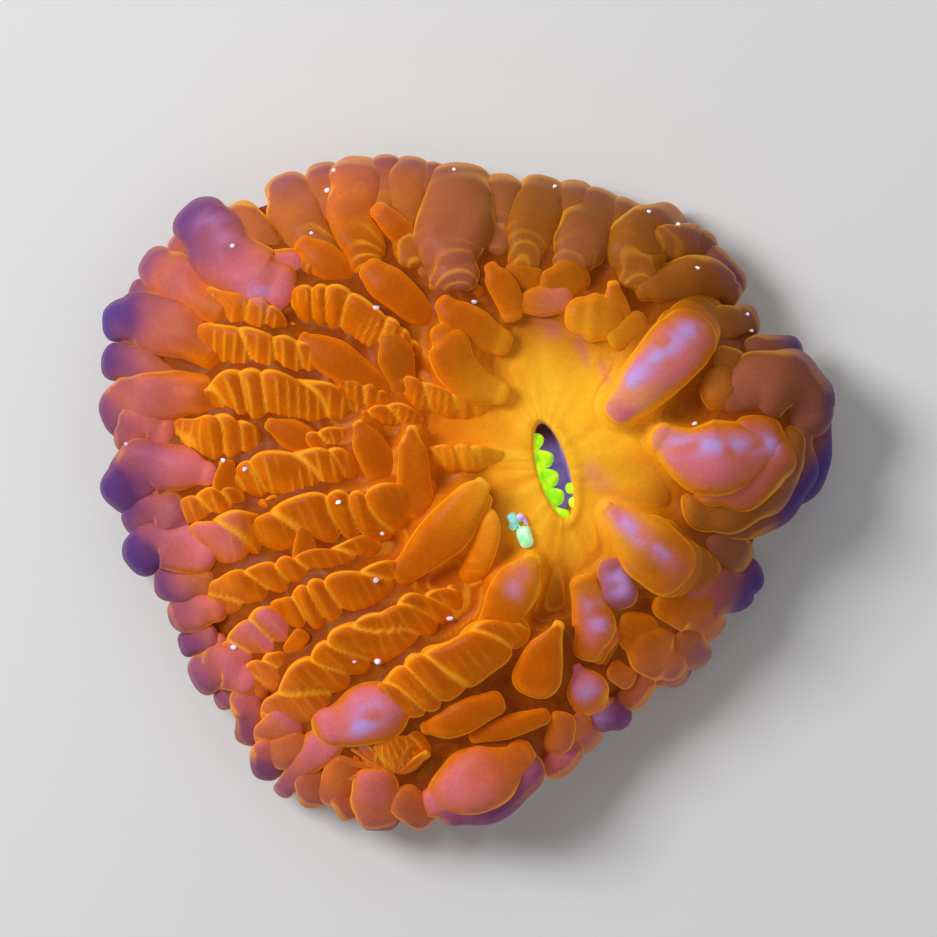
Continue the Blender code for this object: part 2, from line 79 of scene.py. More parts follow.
TOP_SHARE = 0.8
COSTAE = 92
COSTA_HEIGHT = 0.4
KEPT_CLEAR = 0.03


def smooth_path(points, samples, closed=False):
    """A Catmull-Rom curve through the points, with this many samples to a span."""
    points = np.array(points, float)
    if closed:
        knots = np.vstack([points[-1], points, points[:2]])
    else:
        knots = np.vstack([2 * points[0] - points[1], points, 2 * points[-1] - points[-2]])
    t = np.linspace(0, 1, samples, endpoint=False)[:, None]
    spans = []
    for a, b, c, d in zip(knots, knots[1:], knots[2:], knots[3:]):
        curve = 2 * b + (c - a) * t + (2 * a - 5 * b + 4 * c - d) * t**2
        curve = curve + (3 * b - a - 3 * c + d) * t**3
        spans.append(curve / 2)
    if not closed:
        spans.append(points[-1:])
    return np.vstack(spans)


def rim_table():
    """Directions from the mouth in order, and how far the rim is in each."""
    rim = smooth_path(RIM_POINTS, RIM_SAMPLES, closed=True) - MOUTH
    angle = np.arctan2(rim[:, 1], rim[:, 0])
    order = np.argsort(angle)
    return angle[order], np.hypot(rim[:, 0], rim[:, 1])[order]


RIM_ANGLES, RIM_REACH = rim_table()


def rim_reach(angle):
    return np.interp(angle, RIM_ANGLES, RIM_REACH, period=2 * math.pi)


def rim_share(x, y):
    """0 at the mouth and 1 at the rim."""
    dx = x - MOUTH[0]
    dy = y - MOUTH[1]
    return np.hypot(dx, dy) / rim_reach(np.arctan2(dy, dx))


def dome_height(x, y):
    """Height of the dome's skin over a point, which falls from the mouth to the rim and on."""
    share = rim_share(x, y)
    fall = np.clip(1 - share**2, 0, 1) ** DOME_FULLNESS
    return RIM_HEIGHT + (DISC_HEIGHT - RIM_HEIGHT) * fall - RIM_DROOP * np.maximum(share - 1, 0)


def lobe_base(x, y):
    """The dome's height, but bending over smoothly beyond the rim's shoulder."""
    share = rim_share(x, y)
    inner = np.minimum(share, SHOULDER)
    fall = (1 - inner**2) ** DOME_FULLNESS
    slope = 2 * DOME_FULLNESS * SHOULDER * (1 - SHOULDER**2) ** (DOME_FULLNESS - 1)
    past = share - inner
    return RIM_HEIGHT + (DISC_HEIGHT - RIM_HEIGHT) * (fall - slope * past) - DROOP_BEND * past**2


def ramp(value, low, high):
    """0 below low, 1 above high and a smooth step between. It falls where high is the lower."""
    t = np.clip((value - low) / (high - low), 0, 1)
    return t * t * (3 - 2 * t)


def lumps(place, size, seed):
    """Soft unevenness from -1 to 1, with humps of about this size in millimetres."""
    draw = np.random.default_rng(seed)
    total = np.zeros(len(place))
    for _ in range(7):
        way = draw.normal(size=3)
        way *= 2 * math.pi / (size * draw.uniform(1.4, 2.6) * np.linalg.norm(way))
        total += np.sin(place @ way + draw.uniform(0, 2 * math.pi))
    return total / 4.2


BALLS = {}


def ball(segments, rings):
    """A ball primitive's points as polar share and angle, and its faces."""
    if (segments, rings) in BALLS:
        return BALLS[segments, rings]
    bpy.ops.object.select_all(action="DESELECT")
    bpy.ops.mesh.primitive_uv_sphere_add(segments=segments, ring_count=rings, radius=1)
    made = bpy.context.object
    mesh = made.data
    place = np.empty(len(mesh.vertices) * 3)
    mesh.vertices.foreach_get("co", place)
    place = place.reshape(-1, 3)
    corners = np.empty(len(mesh.loops), int)
    mesh.loops.foreach_get("vertex_index", corners)
    sides = np.empty(len(mesh.polygons), int)
    mesh.polygons.foreach_get("loop_total", sides)
    bpy.data.objects.remove(made)
    share = np.arccos(np.clip(-place[:, 2], -1, 1)) / math.pi
    angle = np.arctan2(place[:, 1], place[:, 0])
    BALLS[segments, rings] = (share, angle, corners, sides)
    return BALLS[segments, rings]


LOW = np.array(cad_box[0]) / MM + KEPT_CLEAR
HIGH = np.array(cad_box[1]) / MM - KEPT_CLEAR
LOW[2] = 0
TISSUE_PIECES = []


def write_mask(mesh, name, values):
    layer = mesh.attributes.get(name) or mesh.attributes.new(name, "FLOAT", "POINT")
    layer.data.foreach_set("value", np.clip(values, 0, 1).astype(np.float32))


def tissue_piece(name, shells):
    """One piece from closed shells, each its points, its ball's faces, its tint and its crease lines for painted
    highlights.
    """
    place = np.clip(np.vstack([shell[0] for shell in shells]), LOW, HIGH) * MM
    counts = np.cumsum([0] + [len(shell[0]) for shell in shells])
    corners = np.concatenate([shell[1] + first for shell, first in zip(shells, counts)])
    sides = np.concatenate([shell[2] for shell in shells])
    mesh = bpy.data.meshes.new(name)
    mesh.vertices.add(len(place))
    mesh.vertices.foreach_set("co", place.astype(np.float32).ravel())
    mesh.loops.add(len(corners))
    mesh.loops.foreach_set("vertex_index", corners)
    mesh.polygons.add(len(sides))
    mesh.polygons.foreach_set("loop_start", np.concatenate([[0], np.cumsum(sides)[:-1]]))
    mesh.update(calc_edges=True)
    mesh.shade_smooth()
    write_mask(mesh, "crease_highlight", np.concatenate([shell[4] for shell in shells]))
    for number, tint in enumerate(("pink", "violet", "brown")):
        write_mask(mesh, tint, np.concatenate([shell[3][:, number] for shell in shells]))
    piece = bpy.data.objects.new(name, mesh)
    bpy.context.scene.collection.objects.link(piece)
    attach(piece, "root")
    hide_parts("plate_coral")
    TISSUE_PIECES.append(piece)
    return piece


def disc_shell():
    """The dome, the mouth's pit and the underside, drawn out from one ball."""
    share, angle, corners, sides = ball(DISC_SEGMENTS, DISC_RINGS)
    share = 1 - share
    top = np.clip(share / TOP_SHARE, 0, 1)
    under = np.clip((1 - share) / (1 - TOP_SHARE), 0, 1)
    turned = angle - MOUTH_TILT - math.pi / 2
    slit = np.column_stack([MOUTH_HALF[1] * np.cos(turned), MOUTH_HALF[0] * np.sin(turned)])
    along = np.array([-math.sin(MOUTH_TILT), math.cos(MOUTH_TILT)])
    across = np.array([along[1], -along[0]])
    slit = slit[:, :1] * along - slit[:, 1:] * across
    rim = rim_reach(angle)[:, None] * np.column_stack([np.cos(angle), np.sin(angle)])
    pit = np.clip(top / MOUTH_SHARE, 0, 1)[:, None]
    out = np.clip((top - MOUTH_SHARE) / (1 - MOUTH_SHARE), 0, 1)[:, None]
    upper = slit * pit + (rim - slit) * out
    lower = rim * under[:, None]
    above = share <= TOP_SHARE
    middle = np.where(above[:, None], upper, lower) + MOUTH
    x, y = middle.T
    reach = rim_share(x, y)
    height = dome_height(x, y)
    flat = np.column_stack([x, y, height])
    ribs = 0.2 * lumps(flat, 5.0, 8) + 0.06 * lumps(np.column_stack([angle * 9, reach * 4, reach]), 0.8, 3)
    sunk = MOUTH_DEPTH * (1 - pit[:, 0] ** 5) - 0.35 * np.exp(-(((out[:, 0] - 0.02) / 0.03) ** 2))
    upper_height = height + ribs - sunk
    costae = COSTA_HEIGHT * (np.abs(np.cos(angle * COSTAE / 2)) ** 1.6 - 0.5)
    lower_height = RIM_HEIGHT - (RIM_HEIGHT + FLAT_DEPTH) * (1 - under**UNDERSIDE_POWER)
    lower_height = lower_height + costae * ramp(under, 0.45, 0.7) * ramp(under, 1.0, 0.93)
    z = np.where(above, upper_height, np.maximum(lower_height, 0))
    place = np.column_stack([x, y, z])
    return place, corners, sides, np.zeros(place.shape), np.zeros(len(place))


# Tints that each lobe takes, as shares of pink, violet and brown; the brown share is partly the lobes' own dull colour
# and partly painted shade
TINTS = {
    "orange": (0.0, 0.0, 0.0),
    "amber": (0.0, 0.0, 0.25),
    "rose": (0.45, 0.0, 0.05),
    "pink": (0.9, 0.0, 0.0),
    "mauve": (0.6, 0.25, 0.1),
    "violet": (0.6, 0.75, 0.0),
    "plum": (0.35, 0.5, 0.35),
    "brown": (0.05, 0.0, 0.6),
    "dusk": (0.15, 0.2, 0.65),
}

disc = tissue_piece("disc", [disc_shell()])

# The rows of puffs: soft folds of skin swollen with water, which follow the stony ridges from
# the left rim towards the mouth. They are pinched across every millimetre or two, and their
# crests lean to the upper side.
PATH_SAMPLES = 12
LEAN_POWER = 1.5
EVEN_RINGS = 0.55
BOW_MM = 2.4
SLANT = 0.35
SEGMENT_STEP = 0.32
FOLDED_STEP = 0.125
PLAIN_STEP = 0.25
WARP = 0.35
WARP_SIZE = 5.0
BENT = 3.8
PLEATS = 2.7
PLEAT_WIDTH = 0.35
PLEAT_DEPTH = 0.25
FULLNESS = 0.85
BLUNTNESS = 2.4
CREST_ANGLE = math.radians(38)
CREST_WIDTH = 0.16


def full(wave):
    """A sine or cosine made fuller, so that a round section gets a flatter top and steeper sides."""
    return np.sign(wave) * np.abs(wave) ** FULLNESS


def lobe(points, tints, wide=1.0, lift=1.0, flatness=1.0, lean=0.0, rise=0.0, sink=0.0, tilt=0.0,
         fold="puff", spacing=1.7, depth=0.25, pleated=1.0, unevenness=0.16):
    """A ball drawn out along a path into a rounded, leaning and folded lobe on the dome."""
    path = smooth_path(points, PATH_SAMPLES)
    path[:, 2] *= wide
    ahead = np.gradient(path[:, :2], axis=0)
    ahead /= np.linalg.norm(ahead, axis=1)[:, None]
    run = np.concatenate([[0], np.cumsum(np.linalg.norm(np.diff(path[:, :2], axis=0), axis=1))])
    root, tip = path[0, 2], path[-1, 2]
    segments = 8 * math.ceil(2 * math.pi * path[:, 2].mean() / SEGMENT_STEP / 8)
    ring_step = PLAIN_STEP if fold == "plain" else FOLDED_STEP
    rings = 8 * math.ceil((run[-1] + root + tip) / ring_step / 8)
    share, angle, corners, sides = ball(segments, rings)
    evened = share - EVEN_RINGS * np.sin(2 * math.pi * share) / (2 * math.pi)
    along = evened * (run[-1] + root + tip) - root
    cap = np.maximum(np.clip(-along / root, 0, 1), np.clip((along - run[-1]) / tip, 0, 1))
    blunt = (1 - cap**BLUNTNESS) ** (1 / BLUNTNESS)
    width = np.interp(along, run, path[:, 2]) * blunt
    middle = np.column_stack([np.interp(along, run, path[:, k]) for k in (0, 1)])
    heading = np.column_stack([np.interp(along, run, ahead[:, k]) for k in (0, 1)])
    heading /= np.linalg.norm(heading, axis=1)[:, None]
    middle += heading * (np.minimum(along, 0) + np.maximum(along - run[-1], 0))[:, None]
    up = full(np.sin(angle))
    over = full(np.cos(angle))
    seed = int(abs(points[0][0] * 37 + points[0][1] * 101)) + 1
    side = np.column_stack([-heading[:, 1], heading[:, 0]])
    base = lobe_base(middle[:, 0], middle[:, 1])
    height = base + lift + rise * np.clip(along / max(run[-1], tip), 0, 1)
    height -= sink * ramp(along, 0.65 * run[-1], run[-1] + tip)
    rough = np.column_stack([middle + side * (over * width)[:, None], height + up * width])
    wander = 0.3 * np.sin(along * 1.9 / spacing + seed) + WARP * lumps(rough, WARP_SIZE, seed + 1)
    rough_patch = lumps(rough, 3.0, seed + 2)
    if fold == "tile":
        steps = (along + BOW_MM * np.cos(angle) ** 2) / spacing + 0.9 * wander
        swell = steps - np.floor(steps)
        bends = ramp(along, BENT, 0.4 * BENT)
        # Lines for painted highlights along the tiles' creases
        crease_highlight = 0.45 * bends * ramp(swell, 0.56, 0.84) * ramp(swell, 1.0, 0.92) * ramp(rough_patch, -0.7, 0.2)
        swell = bends * (swell - ramp(swell, 0.7, 1.0) - 0.4)
    elif fold == "puff":
        puffs = np.abs(np.sin(math.pi * (along / spacing + wander + SLANT * over)))
        pleats = np.sin(math.pi * (PLEATS * along / spacing - 0.9 * wander + SLANT * over))
        pleats = np.exp(-((pleats / PLEAT_WIDTH) ** 2)) * ramp(over, 0.8, 0.1) * ramp(over, -1.0, -0.6)
        pleats *= pleated * ramp(rough_patch, -0.6, 0.1)
        # Lines for painted highlights along the pinches, the pleats and the crest
        crest = np.exp(-(((angle - CREST_ANGLE) / CREST_WIDTH) ** 2)) * (1 - cap)
        crease_highlight = np.maximum(np.maximum(0.85 * ramp(puffs, 0.28, 0.06), 0.65 * pleats), crest)
        swell = puffs**0.6 - 0.7 + PLEAT_DEPTH * pleats
    else:
        swell = np.zeros(len(along))
        crease_highlight = swell
    swell = swell * depth * (1 - cap**2) * (0.6 + 0.4 * np.maximum(up, 0))
    girth = width + (swell + unevenness * lumps(rough, 2.6, seed)) * blunt
    across = over + lean * np.maximum(up, 0) ** LEAN_POWER
    place = middle + side * (across * girth)[:, None]
    place = np.column_stack([place, height + up * girth * flatness + tilt * over * width])
    first, last = (tints.split() * 2)[:2]
    share = ramp(along, 0.1 * run[-1], run[-1])[:, None]
    tint = np.array(TINTS[first]) * (1 - share) + np.array(TINTS[last]) * share
    return place, corners, sides, tint, crease_highlight * blunt


UPPER_ROWS = (
    ("orange", (-25.6, 18.0, 1.6), (-23.4, 17.2, 2.0), (-20.8, 16.3, 2.0), (-18.4, 15.2, 1.4)),
    ("orange", (-25.6, 14.0, 2.0), (-22.2, 13.3, 2.2), (-19, 12.7, 2.1), (-16.2, 12.2, 1.8), (-13, 11, 1.2)),
    ("orange", (-25.4, 8.4, 1.7), (-22.8, 8.9, 2.4), (-20, 8.8, 2.4), (-17, 8.5, 2.1), (-13.6, 8, 1.8), (-10.8, 7.2, 1.2)),
    ("orange", (-28.6, 5.6, 1.2), (-26.8, 5.0, 1.8), (-24.4, 4.8, 2.1), (-22, 4.5, 1.8), (-20.0, 4.2, 1.4)),
    ("orange", (-18.4, 3.4, 1.0), (-14.4, 4.1, 1.5), (-11.2, 4.7, 1.1)),
    ("orange", (-22.6, 0.5, 1.4), (-20, 1, 2.0), (-17.4, 1.2, 2.2), (-14.6, 1.4, 2.1), (-10.8, 1.8, 1.7)),
    ("orange", (-27.0, -2.4, 1.6), (-25.0, -2.0, 1.7), (-22.4, -1.5, 1.4)),
    ("orange", (-19.6, -1.9, 1.0), (-15.6, -1.0, 1.1), (-11.6, -0.6, 1.0)),
)
LOWER_ROWS = (
    ("pink orange", (-26, -5.6, 1.8), (-23.2, -5.2, 2.4), (-21.2, -5.0, 2.1)),
    ("orange", (-20.4, -5.1, 1.7), (-18, -4.2, 2.4), (-15.4, -3.5, 2.4), (-12.4, -2.8, 2.1), (-9.6, -2.6, 2.0), (-7, -1.9, 2.2), (-4.4, -1, 1.6)),
    ("orange", (-24.2, -11, 1.5), (-22.2, -10.4, 2.0), (-19.8, -9.6, 1.8), (-17.2, -8.8, 1.7), (-13.6, -7.3, 1.4), (-9.6, -6.0, 1.3)),
    ("orange", (-18, -12.8, 1.6), (-15.2, -12.1, 2.3), (-12.8, -11.3, 2.3), (-10.2, -10.4, 2.1), (-6.6, -8.7, 1.5)),
    ("pink", (-22.2, -16, 1.7), (-19.6, -14.4, 2.2), (-17.4, -13, 1.7)),
    ("orange", (-21.4, -19.4, 1.6), (-19.0, -18.5, 1.8), (-17.2, -17.4, 1.3)),
    ("orange", (-18.2, -22.4, 1.9), (-15.8, -20.6, 2.5), (-13, -18, 2.4), (-10.2, -15.6, 2.3), (-7.4, -14.6, 2.0), (-4.8, -12.9, 2.1), (-1.8, -11.2, 1.3)),
    ("pink", (-19.6, -24.8, 1.4), (-17.8, -23.3, 1.9)),
    ("orange", (0.6, -1.4, 1.3), (1.4, -4.4, 1.4), (0.4, -8.4, 1.1)),
)
for name, table, pleated, depth in (("upper_rows", UPPER_ROWS, 1.0, 0.5), ("lower_rows", LOWER_ROWS, 0.35, 0.75)):
    tissue_piece(name, [
        lobe(points, tint, wide=1.28, lift=0.6, flatness=1.0, lean=0.3, sink=1.4, tilt=0.4,
             spacing=3.3, depth=depth, pleated=pleated)
        for tint, *points in table
    ])

CURTAIN = (
    ("orange", (-15.8, 17.9, 2.0), (-13, 17.4, 2.3), (-10.3, 15.8, 2.1), (-7.7, 14.1, 1.9), (-5.5, 12.7, 1.5)),
    ("orange", (-13.4, 9.6, 1.4), (-10.4, 9.0, 1.4), (-8.2, 8.2, 1.2)),
    ("orange", (-9.5, 6.9, 1.0), (-7.3, 7.2, 1.2), (-5.4, 6.5, 1.1)),
    ("orange", (-6.2, 9.8, 1.2), (-2.4, 8.6, 1.3), (1.2, 7.8, 1.0)),
    ("orange", (-18.6, 10.6, 1.0), (-15.6, 10.4, 1.1), (-12.2, 10.6, 1.0)),
    ("orange", (-3.2, 3.2, 1.0), (0.2, 3.0, 1.2), (3.0, 3.0, 0.8)),
    ("orange", (-10.4, -26.8, 1.3), (-7.6, -26.8, 1.8), (-5, -25.8, 1.5)),
)
curtain = tissue_piece("curtain_folds", [
    lobe(points, tint, wide=1.2, lift=0.2, flatness=1.1, lean=0.3,
         sink=1.2, tilt=0.5, spacing=2.4, depth=0.5)
    for tint, *points in CURTAIN
])

LOWER_ROW = (
    ("orange", (-7.2, -20.6, 2.0), (-4, -19.0, 2.6), (-0.9, -17.3, 2.4), (2.0, -15.4, 2.3), (4.4, -14, 1.6)),
)
lower_row = tissue_piece("lower_row", [
    lobe(points, tint, wide=1.15, lift=1.0, flatness=0.95, lean=0.2,
         sink=0.5, tilt=0.2, spacing=3.4, depth=0.7, pleated=0.3, unevenness=0.3)
    for tint, *points in LOWER_ROW
])

# The rim lobes at the left: the swollen outer ends of the rows, where the skin is fullest. They
# hang over the edge of the stony plate and turn from orange through pink to violet.
LEFT_LOBES = (
    ("violet pink", (-26.6, 26.5, 2.6), (-25.4, 25.2, 3.0), (-23.6, 22.9, 3.2), (-21.2, 20.8, 3.1), (-19.4, 20.1, 2.3)),
    ("pink", (-20.5, 21.4, 2.0), (-17.9, 22.1, 1.8)),
    ("pink", (-20.2, 19.5, 1.7), (-19.3, 18.7, 1.4)),
    ("rose orange", (-31.0, 22.3, 1.9), (-29.3, 21.2, 2.3), (-27, 19.2, 2.2), (-25.2, 18, 1.8)),
    ("plum orange", (-34.8, 17.1, 1.9), (-32.5, 17, 2.5), (-29, 15.7, 2.4), (-25.8, 14.3, 2.0)),
    ("plum brown", (-35.2, 12.6, 1.6), (-33.5, 12.6, 1.9), (-31, 12, 1.3), (-28.8, 11.6, 0.9)),
    ("mauve orange", (-34.6, 8.0, 2.2), (-33, 8.6, 2.8), (-30, 9.3, 2.5), (-27, 9.5, 2.1), (-25.2, 9.2, 1.6)),
    ("mauve rose", (-33.6, 5.0, 1.6), (-32.2, 6.3, 2.3), (-30.8, 5.9, 1.6)),
    ("violet pink", (-33.6, 0.4, 2.7), (-32.4, 2, 2.8), (-30.2, 2.6, 2.3), (-27.8, 2.2, 2.0), (-26.3, 1.8, 1.5)),
    ("plum", (-33.0, -2.9, 1.6), (-31.3, -2, 2.0), (-29.3, -2.6, 1.9), (-28.3, -3.4, 1.3)),
    ("violet pink", (-32.6, -6.4, 1.9), (-31, -5.2, 2.5), (-29, -5.6, 2.3), (-27, -6, 2.0)),
    ("plum brown", (-30, -9.5, 1.4), (-28, -9.5, 1.7), (-26.6, -9.5, 1.5)),
    ("mauve rose", (-28.4, -12.4, 1.6), (-27, -12.1, 1.9), (-25.6, -11.9, 1.5)),
    ("mauve pink", (-26.0, -18.3, 1.9), (-24.4, -17.6, 2.4), (-22.6, -18.4, 1.9)),
    ("pink", (-24.8, -17.0, 1.5), (-24.8, -15.5, 1.1)),
    ("violet plum", (-27.8, -15.4, 1.2), (-26.4, -15.0, 1.4)),
    ("plum rose", (-22.0, -24.4, 1.3), (-21.5, -22.8, 1.6), (-21.9, -21.2, 1.6)),
    ("plum", (-24.2, -21.0, 1.2), (-23.1, -20.5, 1.5)),
    ("plum rose", (-20.2, -28.0, 1.3), (-20.0, -26.6, 1.4)),
    ("pink mauve", (-13.4, -24.4, 1.6), (-15.2, -26.2, 1.7), (-17.0, -28.2, 1.3), (-18.6, -30.2, 0.8)),
    ("pink", (-13.4, -23.3, 2.0), (-11, -22.6, 2.8), (-8.6, -21.8, 2.6), (-6.8, -20.8, 1.9)),
    ("pink", (-10.6, -24.6, 1.3), (-10.3, -25.4, 1.0)),
)
left_lobes = tissue_piece("left_rim_lobes", [
    lobe(points, tint, wide=1.14, lift=0.7, flatness=1.05, lean=0.1, fold="plain", unevenness=0.35)
    for tint, *points in LEFT_LOBES
])

SLIVERS = (
    ("amber", (-28.6, 24.6, 1.3), (-26, 22, 1.4), (-22.6, 19, 1.2)),
    ("amber", (-32.8, 19.9, 1.2), (-29.6, 18.6, 1.3), (-26, 16.6, 1.1)),
    ("amber", (-34.0, 15.4, 1.0), (-31.5, 14.4, 1.1), (-28.6, 13.2, 0.9)),
    ("brown", (-22.6, 26.8, 1.9), (-21.0, 25, 2.0), (-18.6, 22.6, 1.5)),
    ("brown", (-32.4, -1.2, 1.4), (-30.6, -0.1, 1.6), (-28.8, -0.4, 1.5)),
    ("brown", (-14.4, 31.2, 1.7), (-13.9, 28.6, 1.7), (-13, 25.6, 1.4)),
    ("dusk", (10.8, 29.3, 1.8), (10.6, 27, 1.7)),
    ("dusk", (15.8, 27.4, 1.8), (14.8, 25.6, 1.7)),
    ("brown", (26.2, 21.0, 1.7), (24.6, 22.6, 1.7)),
    ("dusk", (26.8, -6.4, 1.7), (25.2, -5.4, 1.7)),
)
slivers = tissue_piece("hidden_slivers", [
    lobe(points, tint, wide=1.2, lift=0.0, flatness=1.1, fold="plain", unevenness=0.15)
    for tint, *points in SLIVERS
])

# The long lobes at the top: upright folds side by side, plain and dull brown outside, a brown that
# is partly their own colour and partly painted shade, and creased in nested arcs where they bend
# over towards the mouth.
TOP_LOBES = (
    ("brown", (-15, 23.6, 1.9), (-16, 25.6, 2.2), (-17.2, 28, 2.4), (-18, 29.8, 1.9)),
    ("amber", (-10.4, 23.6, 1.9), (-11.2, 26.2, 2.3), (-11.2, 28.8, 2.5), (-11.1, 31.0, 2.3)),
    ("brown", (-8, 27, 1.0), (-8.2, 30, 1.3), (-8.3, 32.4, 1.3)),
    ("brown", (-5.4, 23.4, 1.3), (-6, 26, 1.6), (-6, 29.3, 1.7), (-5.8, 31.6, 1.8)),
    ("dusk", (-4.7, 25, 0.9), (-4.3, 29, 1.0), (-3.2, 31.6, 1.2)),
    ("dusk", (-1.2, 22.3, 2.4), (-1.4, 24.2, 3.1), (-1, 27, 3.5), (-0.8, 29.6, 2.9)),
    ("brown", (-3.8, 21.6, 0.9), (-3.2, 22.6, 1.1)),
    ("amber", (-2.6, 19.8, 1.2), (-1.2, 20, 1.5), (0.6, 19.8, 1.2)),
    ("dusk", (3, 24.8, 1.4), (3.3, 27.2, 1.7), (3.4, 29.8, 1.8)),
    ("brown", (5.6, 23.3, 1.6), (6.1, 25.2, 2.1), (6.9, 27.4, 2.4), (7.5, 29.4, 2.0)),
    ("dusk", (10.3, 22.6, 1.5), (11.2, 24.2, 2.3), (12.4, 26.3, 2.8), (13.2, 27.8, 2.2)),
    ("brown", (16.9, 22, 1.8), (16.8, 23.9, 2.8), (18.4, 25.2, 3.0), (19.6, 25.9, 2.5)),
    ("brown", (20.4, 24.2, 2.0), (22.2, 24.1, 2.2), (23.2, 23.9, 1.8)),
)
top_lobes = tissue_piece("top_lobes", [
    lobe(points, tint, wide=1.22, lift=0.8, flatness=0.95, rise=-0.4, fold="tile", spacing=1.5, depth=0.16,
         unevenness=0.3)
    for tint, *points in TOP_LOBES
])

TOP_PUFFS = (
    ("amber", (3.6, 20.6, 1.1), (5.0, 21.2, 1.4), (6.4, 20.9, 1.2)),
    ("orange rose", (5.4, 18.6, 0.8), (7.2, 18.8, 1.3), (9.2, 18.9, 1.3)),
    ("amber", (8.9, 20.4, 1.5), (10.2, 20.9, 1.8)),
    ("orange", (11.6, 17.2, 1.7), (12.5, 17.1, 2.1), (13.4, 17.0, 1.9)),
    ("amber", (15.2, 15.4, 1.2), (16.6, 16.2, 1.4)),
    ("orange", (5.5, 19.8, 0.6), (5.7, 19.7, 0.6)),
    ("orange", (15.6, 18.4, 0.6), (16.2, 19.8, 0.6), (15.8, 20.8, 0.5)),
)
top_puffs = tissue_piece("top_puffs", [
    lobe(points, tint, wide=1.15, lift=0.9, flatness=0.8, fold="plain")
    for tint, *points in TOP_PUFFS
])

# The great lobes at the right: three tight bean-shaped swellings round the mouth's side, each
# with shells of the same skin folded one under the other behind it, down to the dark rim, whose
# darkness is partly painted shade.
BEANS = (
    ("pink", (15.2, 8.2, 1.8), (17.0, 10.0, 2.7), (19.2, 12.3, 3.1), (21.2, 14.5, 3.2), (21.9, 15.3, 3.0)),
    ("pink", (19.5, 5.0, 1.6), (21.8, 3.6, 3.0), (24.6, 3.1, 3.9), (27.6, 3.7, 3.3), (29.8, 4.1, 2.5)),
    ("orange", (14.0, -1.9, 0.8), (15.6, -3.5, 2.0), (17.6, -5.4, 3.1), (19.6, -7.2, 3.2)),
)
beans = tissue_piece("great_lobes", [
    lobe(points, tint, lift=1.9, flatness=0.95, rise=0.2, fold="plain", unevenness=0.12)
    for tint, *points in BEANS
])

SHELLS = (
    ("rose", 1.6, (24.6, 0.9, 2.4), (27.6, 1.6, 3.1), (30.0, 3.4, 2.7)),
    ("rose", 1.5, (28.4, 5.0, 2.3), (29.2, 5.2, 2.3)),
    ("brown", 0.9, (23.8, -1.6, 2.3), (27.6, -0.6, 2.8), (30.6, 1.8, 2.6), (31.4, 4.4, 2.1)),
    ("dusk", 0.4, (26.0, -3.0, 1.8), (29.6, -1.8, 2.2), (32.4, 1.0, 2.2), (32.6, 5.0, 2.0)),
    ("dusk", 0.0, (31.2, -1.2, 1.8), (33.8, 1.4, 2.1), (34.5, 5, 2.0), (34.6, 8, 1.9)),
    ("dusk", 0.6, (26.6, 9.6, 2.0), (28.8, 10.6, 2.9), (31.2, 10.2, 3.7), (33.2, 9.2, 3.3), (33.8, 7.4, 2.6)),
    ("dusk", 0.2, (29.6, 13.6, 1.9), (32.0, 13.4, 1.8)),
    ("brown", 1.0, (26.2, 8.2, 1.0), (25.2, 9.4, 1.7), (24.8, 11, 1.6)),
    ("brown", 0.4, (25.2, 12.4, 1.9), (26.2, 12.2, 1.9)),
    ("brown", 0.8, (24.9, 16.2, 1.9), (26.6, 16.7, 1.7), (28, 17, 1.4)),
    ("brown", 1.0, (18, 19.9, 1.2), (20.5, 20.8, 1.9), (23.2, 21, 2.3), (25.4, 20.2, 1.8), (26.2, 19.7, 1.2)),
    ("mauve violet", -0.8, (22.6, -9.4, 2.6), (25.0, -9.5, 3.0), (27.2, -9.2, 2.6), (28.2, -8.8, 1.7)),
    ("amber", 0.8, (20.4, -11.4, 1.8), (22.6, -12, 2.2), (24.0, -13.2, 1.9)),
)
# Folds nested one under another beyond a lobe's outer end: the lobe, how far each fold drifts
# out from the last, and how high the first one lies
NESTS = ((BEANS[0], (0.2, 0.4), 1.8), (BEANS[2], (0.5, -0.22), 1.8), (TOP_PUFFS[3], (0.42, 0.12), 0.8))
NESTED = 5
NEST_DOWN = 0.42


def nested_folds(row, drift, lift, count):
    """Copies of a lobe's outer end, each a little farther out and lower than the last."""
    for step in range(1, count + 1):
        outer = [(x + step * drift[0], y + step * drift[1], half) for x, y, half in row[-2:]]
        yield lobe(outer, "rose amber" if step < 3 else "brown", lift=lift - (step - 1) * NEST_DOWN,
                   flatness=0.85, fold="plain", unevenness=0.1)


nests = tissue_piece("nested_folds", [
    fold for row, drift, lift in NESTS for fold in nested_folds(row, drift, lift, NESTED)
])
shells = tissue_piece("folded_shells", [
    lobe(points, tint, wide=1.12, lift=lift, flatness=1.0, fold="plain", unevenness=0.35)
    for tint, lift, *points in SHELLS
])

